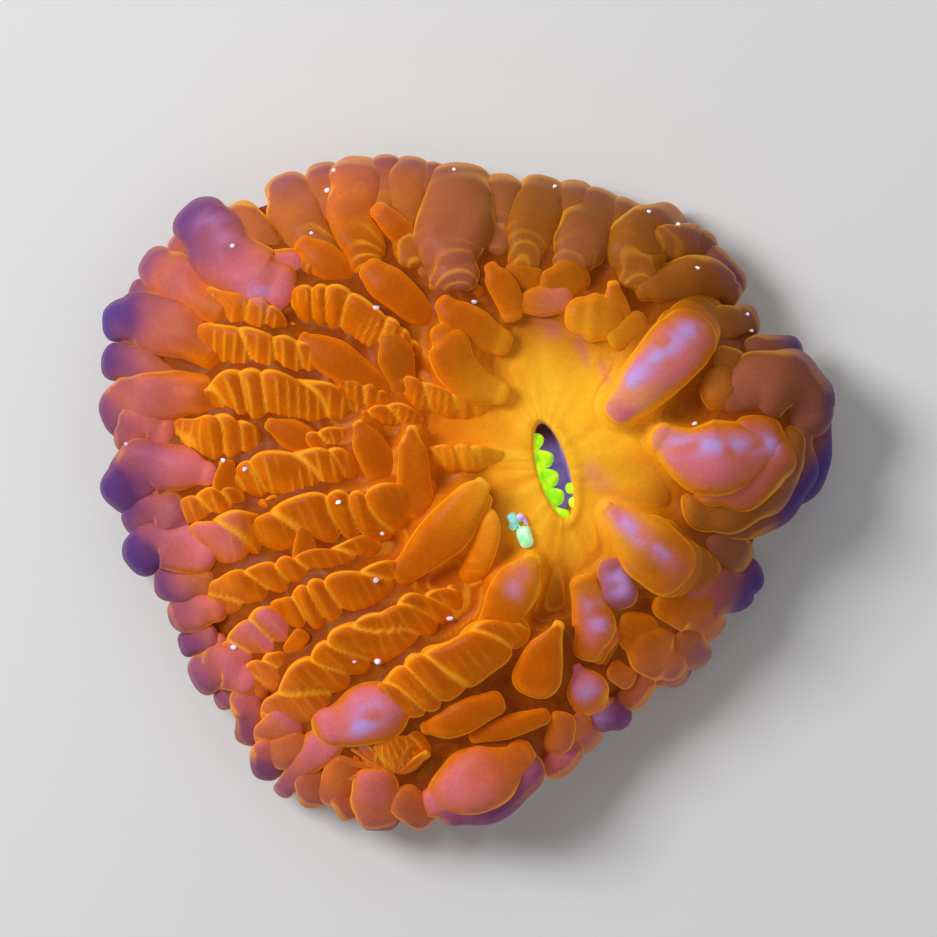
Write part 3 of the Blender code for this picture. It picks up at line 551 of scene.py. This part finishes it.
# The crowded lobes at the lower right and the bottom: smaller puffs of many sizes pressed
# together where the disc turns down to the rim.
LOWER_LOBES = (
    ("violet", (14.6, -8.2, 1.4), (15, -10, 1.7)),
    ("orange", (11.6, -9.6, 1.1), (12.2, -11.4, 1.6), (12.6, -13.6, 1.9), (12.0, -15.4, 1.4)),
    ("amber", (16.4, -13.4, 1.3), (17.8, -13.8, 1.4)),
    ("amber", (16.8, -14.6, 1.5), (18.2, -15.6, 2.3), (19.6, -16.6, 2.3), (20.4, -17.0, 1.8)),
    ("brown", (22.2, -15.6, 1.6), (23.0, -16.6, 1.4)),
    ("amber", (15.4, -18.2, 1.2), (15.8, -18.4, 1.2)),
    ("amber", (17.2, -19.6, 1.5), (16.6, -20.4, 1.5)),
    ("pink", (11.0, -17.8, 0.5), (11.7, -19.4, 1.7), (12.3, -20.9, 1.9), (12.9, -22.0, 1.2), (13.2, -22.6, 0.4)),
    ("violet", (14.0, -22.6, 1.5), (14.6, -22.4, 1.7)),
    ("amber", (9.2, -23.6, 1.3), (9.0, -25, 1.4)),
    ("amber", (11.4, -24.4, 1.7), (11.8, -24.8, 1.5)),
    ("rose", (9.8, -26.3, 1.6), (8.8, -27.3, 1.5)),
    ("pink orange", (-3.2, -31.2, 1.4), (-2.0, -30.5, 2.1), (0.2, -29.3, 2.9), (2.6, -28, 3.0), (4.6, -26.8, 1.9)),
    ("violet", (-1.0, -31.4, 2.0), (2.4, -30.4, 2.5), (5, -28.2, 2.3)),
    ("rose", (-9.2, -30.0, 2.0), (-9.2, -31.0, 2.2)),
    ("rose", (-9.1, -31.3, 2.1), (-9.0, -31.9, 2.0)),
    ("orange", (-4.0, -23.6, 0.6), (-2.2, -23.1, 1.4), (0.2, -22.2, 1.6), (2.5, -21.3, 1.1)),
    ("orange", (1, -24.3, 0.8), (4, -23.6, 1.1), (7.4, -22.6, 0.8)),
    ("amber", (-5.8, -31.4, 1.6), (-4.8, -32.4, 1.5)),
    ("amber", (-12.6, -28.2, 1.5), (-13.4, -30.2, 1.5)),
    ("amber", (-12.2, -31.4, 1.3), (-12.0, -32.0, 1.2)),
    ("amber", (-15.6, -29.6, 1.5), (-15.6, -30.7, 1.3)),
    ("amber", (-17.6, -25.6, 1.5), (-18.6, -26.4, 1.5)),
)
lower_lobes = tissue_piece("lower_lobes", [
    lobe(points, tint, wide=1.18, lift=0.8, flatness=0.95, fold="plain", unevenness=0.17)
    for tint, *points in LOWER_LOBES
])

LOWER_NESTS = (
    (LOWER_LOBES[1], (0.35, -0.35)), (LOWER_LOBES[3], (0.2, -0.4)), (LOWER_LOBES[7], (0.45, 0.05)),
    (LOWER_LOBES[12], (0.5, -0.35)), (LOWER_LOBES[14], (0.1, -0.5)),
)
LOWER_NESTED = 3
lower_nests = tissue_piece("lower_nested_folds", [
    fold for row, drift in LOWER_NESTS for fold in nested_folds(row, drift, 0.7, LOWER_NESTED)
])

# The fan: the direction, length and half width of each thin fold gathered at one point
FAN_MIDDLE = (-7.0, -28.4)
FAN = (
    (34, 3.6, 0.35), (62, 3.0, 0.4), (92, 3.4, 0.4), (112, 4.0, 0.35), (130, 4.6, 0.45), (147, 5.0, 0.4),
    (163, 5.2, 0.45), (181, 4.8, 0.4), (200, 4.4, 0.45), (222, 4.2, 0.4),
)


def fan_fold(turn, reach, half):
    """One thin fold running out from the fan's middle and widening a little."""
    way = (math.cos(math.radians(turn)), math.sin(math.radians(turn)))
    steps = ((0.12, 0.6), (0.45, 0.85), (0.75, 1.0), (1.0, 1.1))
    points = [(FAN_MIDDLE[0] + way[0] * reach * t, FAN_MIDDLE[1] + way[1] * reach * t, half * w) for t, w in steps]
    return lobe(points, "orange amber", lift=0.9, flatness=2.6, lean=0.6, fold="plain", unevenness=0.12)


fan = tissue_piece("fan_folds", [fan_fold(*fold) for fold in FAN])

# The tentacles: short leaf-shaped flaps of smooth skin that stand up between the rows and flop
# over towards the upper left.
TENTACLES = (
    ("orange", (-10.9, 20.6, 1.2), (-12.8, 21.6, 1.8), (-14.8, 23.2, 1.8), (-16.1, 24.3, 1.0)),
    ("orange", (-3.4, 17, 1.1), (-5.6, 18.3, 1.8), (-7.8, 20.2, 2.0), (-9.3, 21.6, 1.3)),
    ("orange", (3, 14.8, 1.5), (1, 15.7, 1.9), (-1, 17.2, 1.7), (-2.1, 18.3, 1.0)),
    ("orange", (3, 9.6, 1.2), (0.6, 10.6, 1.9), (-1.3, 12.4, 2.2), (-1.8, 14.4, 2.1), (-2.3, 15.3, 1.3)),
    ("orange", (4.4, 17.6, 1.0), (3.9, 19.3, 1.4), (3, 21, 1.3), (2.5, 21.9, 0.8)),
    ("orange", (-8.2, 10.3, 0.9), (-10.5, 11.5, 1.6), (-13, 12.9, 1.9), (-15.2, 14.4, 1.2), (-16, 15, 0.7)),
    ("amber", (-6.4, 11, 1.4), (-7, 13.2, 1.7), (-7.6, 14.8, 1.0)),
    ("orange", (-13.8, 3.9, 0.8), (-15.2, 4.4, 1.4), (-17.5, 5.6, 1.5), (-19.3, 6.4, 0.8)),
    ("orange", (-23.6, -1.4, 1.3), (-24, 0.8, 1.3), (-23.9, 2.4, 0.7)),
    ("orange", (-8.6, 0.4, 1.2), (-8.7, 2.4, 1.7), (-9.8, 4.8, 1.5), (-10.6, 6.3, 0.7)),
    ("orange", (-4.9, -1.2, 1.7), (-5.2, 1.4, 1.6), (-5.5, 4.2, 1.4), (-5.4, 5.7, 0.8)),
    ("orange", (-6.2, -8, 1.3), (-4, -5.9, 2.1), (-1.5, -3.2, 2.4), (0.6, -0.6, 1.6), (1.5, 0.5, 0.7)),
    ("orange", (-15.9, -8.2, 1.2), (-16, -6, 1.3), (-16.2, -4.2, 0.7)),
    ("orange", (-18.3, -17.6, 0.7), (-17.4, -16, 1.0), (-16.6, -14.6, 0.8)),
    ("orange", (2.8, -12.9, 1.7), (3.9, -11, 2.2), (5.4, -8.8, 2.1), (6.4, -7.1, 1.1)),
    ("orange", (7, -18.2, 2.5), (7.8, -16, 1.8), (8.9, -13.6, 0.8)),
    ("orange", (-5.4, 24.2, 1.0), (-7, 26, 1.3), (-8.6, 27.6, 1.1)),
    ("orange", (15.3, 16.9, 0.9), (14.7, 18.7, 1.2), (14.5, 20.2, 0.7)),
)
tentacles = tissue_piece("tentacles", [
    lobe(points, tint, lift=1.0, flatness=0.6, rise=1.7, fold="plain", unevenness=0.2)
    for tint, *points in TENTACLES
])

# The living skin: soft wet tissue over stone, orange by its own fluorescence. It is yellow round
# the mouth, partly its own colour and partly a painted pool of light, pink where it swells and violet
# at the rim. Painted shade darkens its creases, the disc's valleys, the flat tops and the top and
# right sides, and painted highlights brighten it where it turns away, along its crease lines and in
# lilac bands.
SHADE_CELL = 0.25
SHADE_SPREAD = 1.3
CREST_SPREAD = 0.45
MAP_FILLS = 2


def blurred(heights, spread):
    """The height map smoothed over this many millimetres."""
    reach = int(3 * spread / SHADE_CELL)
    steps = np.arange(-reach, reach + 1) * SHADE_CELL
    weight = np.exp(-((steps / spread) ** 2) / 2)
    weight /= weight.sum()
    for _ in range(2):
        padded = np.pad(heights, ((reach, reach), (0, 0)), mode="edge")
        heights = sum(w * padded[k:k + len(heights)] for k, w in enumerate(weight)).T
    return heights


def points_of(piece):
    place = np.empty(len(piece.data.vertices) * 3, np.float32)
    piece.data.vertices.foreach_get("co", place)
    return place.reshape(-1, 3) / MM


def height_map():
    """The highest skin over each cell, seen from above, with the pits between points closed."""
    size = np.ceil((HIGH - LOW)[:2] / SHADE_CELL).astype(int) + 1
    heights = np.zeros(size)
    for piece in TISSUE_PIECES:
        place = points_of(piece)
        cell = ((place[:, :2] - LOW[:2]) / SHADE_CELL).astype(int)
        np.maximum.at(heights, (cell[:, 0], cell[:, 1]), place[:, 2])
    for pick in [np.max] * MAP_FILLS + [np.min] * MAP_FILLS:
        padded = np.pad(heights, 1, mode="edge")
        wide, deep = heights.shape
        heights = pick([padded[a:a + wide, b:b + deep] for a in range(3) for b in range(3)], axis=0)
    return heights


def over_map(values, x, y):
    """The map's value over each point, eased from cell to cell."""
    u = np.clip((x - LOW[0]) / SHADE_CELL - 0.5, 0, values.shape[0] - 1.001)
    v = np.clip((y - LOW[1]) / SHADE_CELL - 0.5, 0, values.shape[1] - 1.001)
    a = u.astype(int)
    b = v.astype(int)
    near = values[a, b] + (values[a, b + 1] - values[a, b]) * (v - b)
    far = values[a + 1, b] + (values[a + 1, b + 1] - values[a + 1, b]) * (v - b)
    return near + (far - near) * (u - a)


DRAPE_SPREAD = 0.9
DRAPE_GAP = 0.7
PLEATS_PER_MM = 1.15
PLEAT_HEIGHT = 0.2


def drape_disc():
    """Raises the disc's skin between the lobes, in pleats nested round each, so that they grow out of it."""
    level = blurred(height_map(), DRAPE_SPREAD)
    place = points_of(disc)
    x, y, z = place.T
    share = rim_share(x, y)
    skin = (z > dome_height(x, y) - 0.6) * ramp(share, 0.16, 0.26)
    hung = over_map(level, x, y)
    flat = np.column_stack([x, y, np.zeros(len(x))])
    contours = PLEATS_PER_MM * (hung - dome_height(x, y)) + 0.9 * lumps(flat, 5.0, 31)
    part = contours - np.floor(contours)
    gathered = ramp(share, 0.22, 0.42)
    pleats = PLEAT_HEIGHT * (part - ramp(part, 0.76, 1.0)) * gathered
    raised = np.maximum(z, hung - DRAPE_GAP) + pleats
    place[:, 2] = z + skin * (raised - z) * ramp(share, 0.98, 0.88)
    disc.data.vertices.foreach_set("co", (place * MM).astype(np.float32).ravel())
    disc.data.update()
    # Lines for painted highlights along the pleats' edges
    line = ramp(part, 0.6, 0.84) * ramp(part, 1.0, 0.9)
    write_mask(disc.data, "crease_highlight", 0.55 * skin * line * gathered)


# Streaks of paler skin: from, to, half width and strength
PINK_BANDS = (
    ((11.2, 14.6), (11.8, 12.8), 0.6, 0.6), ((7.6, 17.0), (8.6, 15.8), 0.9, 0.5), ((12.4, 1.8), (13.8, 0.4), 1.0, 0.4),
    ((13.4, 12.6), (13.9, 10.8), 0.5, 0.4), ((14.6, -2.2), (17.4, -4.8), 1.1, 1.0),
    ((18.4, -5.8), (20.6, -7.6), 1.0, 0.6), ((12.3, -11.2), (12.5, -14.6), 1.0, 0.7), ((4.6, -9.4), (5.6, -8.2), 0.8, 0.7),
)
# Bands of painted reflection, lilac, over raised lobes: from, to, half width and strength
LILAC_REFLECTION_BANDS = (
    ((15.6, 10.4), (23.0, 16.8), 0.9, 1.0), ((20.5, 4.3), (30.4, 4.6), 0.9, 1.0), ((15.6, -3.2), (17.2, -4.8), 0.7, 0.7),
    ((18.6, -5.6), (19.6, -6.5), 0.5, 0.6), ((-10.6, -23.6), (-9.4, -22.2), 1.3, 1.0), ((12.2, -20.6), (12.9, -22), 1.3, 0.8),
    ((12.6, -10.8), (12.6, -11.4), 0.9, 0.7), ((13.0, -13.2), (13.2, -13.8), 0.9, 0.7), ((15, -8.6), (15.2, -9.8), 1.1, 0.8),
    ((-25.8, 27.0), (-25.0, 26.0), 1.6, 0.5), ((-20.6, 19.8), (-20.2, 19.4), 1.2, 0.4), ((4.4, -9.6), (4.7, -10.2), 0.7, 0.5),
)


def band_strength(x, y, bands):
    total = np.zeros(len(x))
    for start, end, half, strength in bands:
        start, end = np.array(start), np.array(end)
        run = end - start
        t = np.clip(((x - start[0]) * run[0] + (y - start[1]) * run[1]) / (run @ run), 0, 1)
        away = np.hypot(x - start[0] - t * run[0], y - start[1] - t * run[1])
        total = np.maximum(total, strength * np.exp(-((away / half) ** 2)))
    return total


def read_mask(mesh, name):
    values = np.empty(len(mesh.vertices), np.float32)
    mesh.attributes[name].data.foreach_get("value", values)
    return values


def tint_skin():
    """Works out how deep, steep and near the rim each point is, for the skin's colours and for its painted shade and
    painted highlights.
    """
    heights = height_map()
    wide = blurred(heights, SHADE_SPREAD)
    fine = blurred(heights, CREST_SPREAD)
    for piece in TISSUE_PIECES:
        mesh = piece.data
        place = points_of(piece)
        x, y, z = place.T
        normals = np.empty(len(mesh.vertices) * 3, np.float32)
        mesh.vertex_normals.foreach_get("vector", normals)
        slope = normals.reshape(-1, 3)[:, 2]
        below = over_map(wide, x, y) - z
        crest = z - over_map(fine, x, y)
        share = rim_share(x, y)
        bearing = np.arctan2(y - MOUTH[1], x - MOUTH[0])
        direction = np.degrees(bearing)
        patch = lumps(place, 2.4, 11)
        streak = lumps(np.column_stack([bearing * 9, share * 3, np.zeros(len(x))]), 2.0, 5)
        top_side = ramp(direction, 18, 50) * ramp(direction, 125, 95)
        right_side = ramp(direction, -60, -25) * ramp(direction, 60, 30)
        dim_side = np.maximum(top_side, right_side)
        left_side = ramp(np.abs(direction), 140, 160)
        # Yellow round the mouth, fading outward: partly the skin's own colour and partly a painted pool of light
        away = ((x - 11.0) / 10.0) ** 2 + ((y - 4.5) / 12.0) ** 2
        yellow_and_light_pool = np.exp(-(away**1.5)) * (1 + 0.25 * streak * (piece == disc))
        pink = read_mask(mesh, "pink") * ramp(slope, 0.5, 0.92) * (0.85 + 0.3 * patch)
        pink += 0.12 * ramp(share, 0.8, 0.98) * (1 - dim_side)
        pink = np.maximum(pink, band_strength(x, y, PINK_BANDS) * (0.9 + 0.4 * patch))
        rim = ramp(share + 0.04 * patch, 0.92, 1.08)
        violet = read_mask(mesh, "violet") * 0.75 + (0.25 + 0.4 * left_side) * rim
        violet *= 1 - 0.7 * top_side
        blue = (0.45 + 0.3 * left_side + 0.4 * right_side) * ramp(share, 1.0, 1.12) * (1 - 0.4 * top_side)
        write_mask(mesh, "yellow_and_light_pool", yellow_and_light_pool)
        write_mask(mesh, "pink", pink)
        write_mask(mesh, "violet", violet)
        write_mask(mesh, "blue", blue)
        # Painted shade: duller orange on flat, upward-facing tops away from the mouth
        write_mask(mesh, "painted_top_shade", ramp(slope, 0.7, 1.0) * ramp(share, 0.2, 0.4))
        # Brown: the lobes' own dull colour, with painted shade added over the top and right sides
        write_mask(mesh, "brown", read_mask(mesh, "brown") + 0.3 * dim_side * ramp(share, 0.5, 0.85))
        # Painted shade: the top and right sides darkened towards the rim
        write_mask(mesh, "painted_side_shade", (0.12 * top_side + 0.28 * right_side) * ramp(share, 0.7, 1.0))
        inside = ramp(dome_height(x, y) - z, 0.7, 1.3) * (share < MOUTH_SHARE) * (piece == disc)
        write_mask(mesh, "gullet", inside)
        write_mask(mesh, "maroon", inside * ramp(y, 3.6, 6.0))
        # Painted reflection: lilac bands on the upward faces of raised lobes, broken into ragged patches
        ragged_reflection = ramp(lumps(place, 1.3, 17) + 0.5 * patch, -0.9, 0.3)
        write_mask(mesh, "painted_lilac_reflection", band_strength(x, y, LILAC_REFLECTION_BANDS) * ramp(slope, 0.5, 0.9) * ragged_reflection)
        # Painted shade: dark in crevices below the smoothed skin and over the disc's valleys between the lobes, less
        # round the mouth
        valley_shade = 0.8 * (piece == disc) * ramp(share, 0.35, 0.6)
        deep = np.maximum(ramp(below, 0.5, 1.9) * ramp(share, 1.06, 0.92), valley_shade)
        write_mask(mesh, "deep", deep * (1 - 0.7 * yellow_and_light_pool))
        # Painted highlight: bright on steep edges, on crests and along crease lines, less on the top and right sides
        # and at the violet rim
        painted_highlight = np.maximum(0.9 * ramp(slope, 0.5, 0.25) * ramp(below, 1.4, 0.5), 0.7 * ramp(crest, 0.3, 0.6))
        painted_highlight = np.maximum(painted_highlight, 0.9 * read_mask(mesh, "crease_highlight") * ramp(below, 1.8, 0.9))
        painted_highlight *= ramp(slope, -0.1, 0.1) * (1 - 0.25 * dim_side) * (1 - 0.9 * np.clip(violet + blue, 0, 1))
        write_mask(mesh, "edge", painted_highlight)
        write_mask(mesh, "stone", ramp(slope, -0.25, -0.5) * ramp(share, 0.99, 0.95) * (piece == disc))


def linear(colour):
    """An sRGB hex colour as linear values."""
    parts = [int(colour[k:k + 2], 16) / 255 for k in (1, 3, 5)]
    return [c / 12.92 if c <= 0.04045 else ((c + 0.055) / 1.055) ** 2.4 for c in parts] + [1.0]


def add_node(tree, kind, settings=None, **links):
    """A node with its settings and what feeds each of its sockets: a value or another's output."""
    node = tree.nodes.new(kind)
    for name, value in (settings or {}).items():
        setattr(node, name, value)
    for name, value in links.items():
        key = int(name[1:]) if name[1:].isdigit() else name.replace("_", " ")
        socket = node.inputs[key]
        if isinstance(value, bpy.types.NodeSocket):
            tree.links.new(value, socket)
        else:
            socket.default_value = value
    return node


def mixed(tree, share, first, second):
    """first turning into second by share. Colours are hex words or sockets."""
    first = linear(first) if isinstance(first, str) else first
    second = linear(second) if isinstance(second, str) else second
    node = add_node(tree, "ShaderNodeMix", {"data_type": "RGBA"}, i0=share, i6=first, i7=second)
    return node.outputs[2]


def mask(tree, name):
    return add_node(tree, "ShaderNodeAttribute", {"attribute_name": name}).outputs["Fac"]


def coral_skin():
    """Wet living tissue: mottled orange over stone, with soft light inside it and a faint glow, and with painted light
    and shade laid over its colours.
    """
    skin = bpy.data.materials.new("wet_coral_tissue_over_stone")
    skin.use_nodes = True
    tree = skin.node_tree
    shader = tree.nodes["Principled BSDF"]
    place = add_node(tree, "ShaderNodeTexCoord").outputs["Object"]
    # Clumps of pigment about 0.7 mm wide, and single grains about 0.15 mm
    clumps = add_node(tree, "ShaderNodeTexNoise", None, Vector=place, Scale=700.0, Detail=3.0).outputs["Fac"]
    grains = add_node(tree, "ShaderNodeTexNoise", None, Vector=place, Scale=3200.0, Detail=2.0).outputs["Fac"]
    mottle = add_node(tree, "ShaderNodeMapRange", None, Value=clumps, From_Min=0.25, From_Max=0.75).outputs[0]
    colour = mixed(tree, mottle, "#D06402", "#E27603")
    # Painted shade on the flat tops
    painted_top_shade = add_node(tree, "ShaderNodeMath", {"operation": "MULTIPLY"}, i0=mask(tree, "painted_top_shade"), i1=0.75).outputs[0]
    colour = mixed(tree, painted_top_shade, colour, "#AC4C02")
    # Yellow round the mouth, partly a painted pool of light
    colour = mixed(tree, mask(tree, "yellow_and_light_pool"), colour, "#FFBC28")
    # Brown, partly the lobes' own colour and partly painted shade
    colour = mixed(tree, mask(tree, "brown"), colour, "#98580A")
    colour = mixed(tree, mask(tree, "pink"), colour, "#D8707A")
    colour = mixed(tree, mask(tree, "violet"), colour, "#6A386E")
    colour = mixed(tree, mask(tree, "blue"), colour, "#2A3290")
    # Painted lilac reflection
    colour = mixed(tree, mask(tree, "painted_lilac_reflection"), colour, "#C49CE0")
    # Painted highlights on edges, crests and crease lines
    colour = mixed(tree, mask(tree, "edge"), colour, "#FFAC24")
    # Painted shade in crevices and valleys
    colour = mixed(tree, mask(tree, "deep"), colour, "#742E06")
    # Painted shade over the top and right sides
    colour = mixed(tree, mask(tree, "painted_side_shade"), colour, "#3E2408")
    speck = add_node(tree, "ShaderNodeMapRange", None, Value=grains, From_Min=0.3, From_Max=0.7, To_Min=0.94, To_Max=1.06).outputs[0]
    grained = add_node(tree, "ShaderNodeVectorMath", {"operation": "SCALE"}, i0=colour, Scale=speck).outputs[0]
    gullet = mixed(tree, mottle, "#9A78CC", "#C3A6F0")
    gullet = mixed(tree, mask(tree, "maroon"), gullet, "#5A2418")
    grained = mixed(tree, mask(tree, "gullet"), grained, gullet)
    stony = mixed(tree, grains, "#B9AC94", "#E6DDC8")
    colour = mixed(tree, mask(tree, "stone"), grained, stony)
    soft = add_node(tree, "ShaderNodeBump", None, Height=clumps, Strength=0.25, Distance=0.0003).outputs[0]
    bump = add_node(tree, "ShaderNodeBump", None, Height=grains, Strength=0.2, Distance=0.00008, Normal=soft).outputs[0]
    tree.links.new(colour, shader.inputs["Base Color"])
    tree.links.new(colour, shader.inputs["Emission Color"])
    tree.links.new(bump, shader.inputs["Normal"])
    shader.inputs["Emission Strength"].default_value = 0.15
    shader.inputs["Roughness"].default_value = 0.45
    shader.inputs["IOR"].default_value = 1.38
    shader.inputs["Specular IOR Level"].default_value = 0.1
    shader.inputs["Subsurface Weight"].default_value = 0.12
    shader.inputs["Subsurface Radius"].default_value = (1.0, 0.35, 0.12)
    shader.inputs["Subsurface Scale"].default_value = 0.0012
    shader.inputs["Coat Weight"].default_value = 0.03
    shader.inputs["Coat Roughness"].default_value = 0.2
    return skin


drape_disc()
tint_skin()
living_skin = coral_skin()
for piece in TISSUE_PIECES:
    piece.data.materials.append(living_skin)

# The lips: a ruffle of neon-green tissue, five scallops along the mouth's left wall and two small
# ones opposite. Its green protein glows more strongly than the orange one round it.
LIP_DEPTH = 0.9
LIPS = (
    ((6.2, 5.2, 0.6), (6.8, 4.9, 0.8)),
    ((6.4, 3.4, 0.85), (7.7, 3.1, 0.9)),
    ((6.9, 1.5, 0.85), (8.2, 1.2, 0.9)),
    ((7.5, -0.4, 0.85), (8.8, -0.7, 0.85)),
    ((8.5, -2.2, 0.7), (9.5, -2.5, 0.7)),
    ((6.3, 4.9, 0.7), (6.5, 2.8, 0.95), (7.2, 0.4, 1.0), (8.2, -1.7, 0.75)),
    ((11.0, 0.3, 0.5), (10.3, 0.2, 0.55)),
    ((11.2, -1.1, 0.5), (10.6, -1.2, 0.55)),
)


def bare_piece(name, shells, material):
    """A piece with a material of its own, from closed shells."""
    made = tissue_piece(name, shells)
    TISSUE_PIECES.remove(made)
    made.data.materials.append(material)
    return made


def glowing(name, dark, light, strength):
    """Tissue or slime of two close colours in patches about half a millimetre wide, which glows."""
    made = bpy.data.materials.new(name)
    made.use_nodes = True
    tree = made.node_tree
    shader = tree.nodes["Principled BSDF"]
    place = add_node(tree, "ShaderNodeTexCoord").outputs["Object"]
    noise = add_node(tree, "ShaderNodeTexNoise", None, Vector=place, Scale=900.0, Detail=2.0).outputs["Fac"]
    share = add_node(tree, "ShaderNodeMapRange", None, Value=noise, From_Min=0.4, From_Max=0.6).outputs[0]
    colour = mixed(tree, share, dark, light)
    tree.links.new(colour, shader.inputs["Base Color"])
    tree.links.new(colour, shader.inputs["Emission Color"])
    shader.inputs["Emission Strength"].default_value = strength
    shader.inputs["Roughness"].default_value = 0.35
    return made


lips = bare_piece("mouth_lips", [
    lobe(points, "orange", lift=-LIP_DEPTH, flatness=0.8, fold="plain", unevenness=0.1)
    for points in LIPS
], glowing("neon_green_lip_tissue", "#8CE000", "#C6F420", 0.45))

# A pellet of slime and waste that the coral has just cast out, beside the mouth, and loose
# grains of sand and plankton scattered over the skin.
PELLET = (
    ("teal", (4.4, -2.7, 0.45), (4.6, -3.0, 0.5)), ("teal", (5.0, -3.4, 0.4), (5.2, -3.6, 0.45)),
    ("teal", (4.5, -3.5, 0.35), (4.6, -3.6, 0.35)), ("lavender", (5.6, -2.8, 0.4), (5.7, -3.0, 0.45)),
    ("lavender", (6.0, -3.4, 0.35), (6.0, -3.5, 0.4)), ("lavender", (5.2, -2.6, 0.3), (5.3, -2.7, 0.35)),
    ("mint", (5.6, -4.3, 0.75), (5.9, -5.0, 0.7)),
)
SLIMES = {
    "teal": glowing("pale_teal_slime", "#7FD9D2", "#B8F5E6", 0.35),
    "lavender": glowing("lavender_slime", "#B9A4E6", "#DCC8F7", 0.35),
    "mint": glowing("mint_slime", "#8FF0A8", "#C8FAD2", 0.4),
}
for shade, slime in SLIMES.items():
    bare_piece("pellet_" + shade, [
        lobe(points, "orange", lift=0.55, flatness=0.8, fold="plain", unevenness=0.3)
        for word, *points in PELLET if word == shade
    ], slime)

GRAINS = (
    (-9, 18.1, 0.3), (0.7, 18.7, 0.25), (-23.3, 24.3, 0.25), (-15.5, 25.6, 0.2), (-14, 30, 0.3),
    (-12.7, -1.2, 0.25), (-8.4, -4.3, 0.25), (-9, -8.9, 0.3), (-1.7, -12.7, 0.3), (-8.8, -17, 0.4),
    (-22, 2.1, 0.25), (-24.2, 3, 0.25), (-34.1, 4.6, 0.2), (22.6, 6.6, 0.25), (28.2, 17.7, 0.2),
    (28.6, 16, 0.2), (23, 22.2, 0.2), (-13.4, 32.1, 0.2), (-1.3, 32.2, 0.2), (8.8, 30.5, 0.2),
    (18.2, 27.9, 0.2), (21.2, 26.7, 0.2), (-11.2, -17, 0.2), (-23.3, -15.7, 0.3),
)
GRAIN_FLATNESS = 0.7


def grain(x, y, size):
    """One grain, resting on the highest skin at its place."""
    share, angle, corners, sides = ball(14, 10)
    level = TOP_OF_SKIN[int((x - LOW[0]) / SHADE_CELL), int((y - LOW[1]) / SHADE_CELL)]
    flat = np.sin(math.pi * share)
    place = np.column_stack([flat * np.cos(angle), flat * np.sin(angle), -np.cos(math.pi * share)])
    place *= 1 + 0.35 * lumps(place, 1.2, int(abs(x * 31 + y * 17)))[:, None]
    place = place * (size, size * 0.8, size * GRAIN_FLATNESS) + (x, y, level + 0.4 * size)
    return place, corners, sides, np.zeros(place.shape), np.zeros(len(place))


TOP_OF_SKIN = height_map()
grains = bare_piece("loose_grains", [grain(*spot) for spot in GRAINS],
                    glowing("white_sand_grain", "#D8CCF5", "#FFFFFF", 0.3))

# The studio: a plain pale floor, broad soft lights and the camera straight above, as the
# photograph was taken.
FLOOR_SIZE = 3.0
PICTURE_MM = 93.7
PICTURE_MIDDLE = (0.15, 2.15)
CAMERA_HEIGHT = 0.56
FOCUS_HEIGHT = 0.010
SENSOR_MM = 36.0

bpy.ops.object.select_all(action="DESELECT")
bpy.ops.mesh.primitive_plane_add(size=FLOOR_SIZE, location=(0, 0, -0.00005))
floor = bpy.context.object
floor.name = "floor"
paint = bpy.data.materials.new("matt_pale_board")
paint.use_nodes = True
paint.node_tree.nodes["Principled BSDF"].inputs["Base Color"].default_value = linear("#F0F0F0")
paint.node_tree.nodes["Principled BSDF"].inputs["Roughness"].default_value = 0.9
floor.data.materials.append(paint)

LIGHTS = (
    ("key", (-0.42, 0.22, 0.45), 0.26, 3.1),
    ("fill", (0.45, -0.30, 0.50), 0.60, 0.35),
    ("back", (0.05, 0.55, 0.40), 0.50, 0.4),
)
for name, spot, size, power in LIGHTS:
    bpy.ops.object.light_add(type="AREA", location=spot)
    light = bpy.context.object
    light.name = name
    light.data.size = size
    light.data.energy = power
    light.rotation_euler = light.location.to_track_quat("Z", "Y").to_euler()

world = bpy.data.worlds.new("studio")
world.use_nodes = True
world.node_tree.nodes["Background"].inputs["Color"].default_value = linear("#F2F2F2")
world.node_tree.nodes["Background"].inputs["Strength"].default_value = 0.24
bpy.context.scene.world = world
bpy.context.scene.view_settings.view_transform = "Standard"

bpy.ops.object.camera_add(location=(PICTURE_MIDDLE[0] * MM, PICTURE_MIDDLE[1] * MM, CAMERA_HEIGHT), rotation=(0, 0, 0))
camera = bpy.context.object
camera.data.sensor_width = SENSOR_MM
camera.data.lens = SENSOR_MM * (CAMERA_HEIGHT - FOCUS_HEIGHT) / (PICTURE_MM * MM)
bpy.context.scene.camera = camera
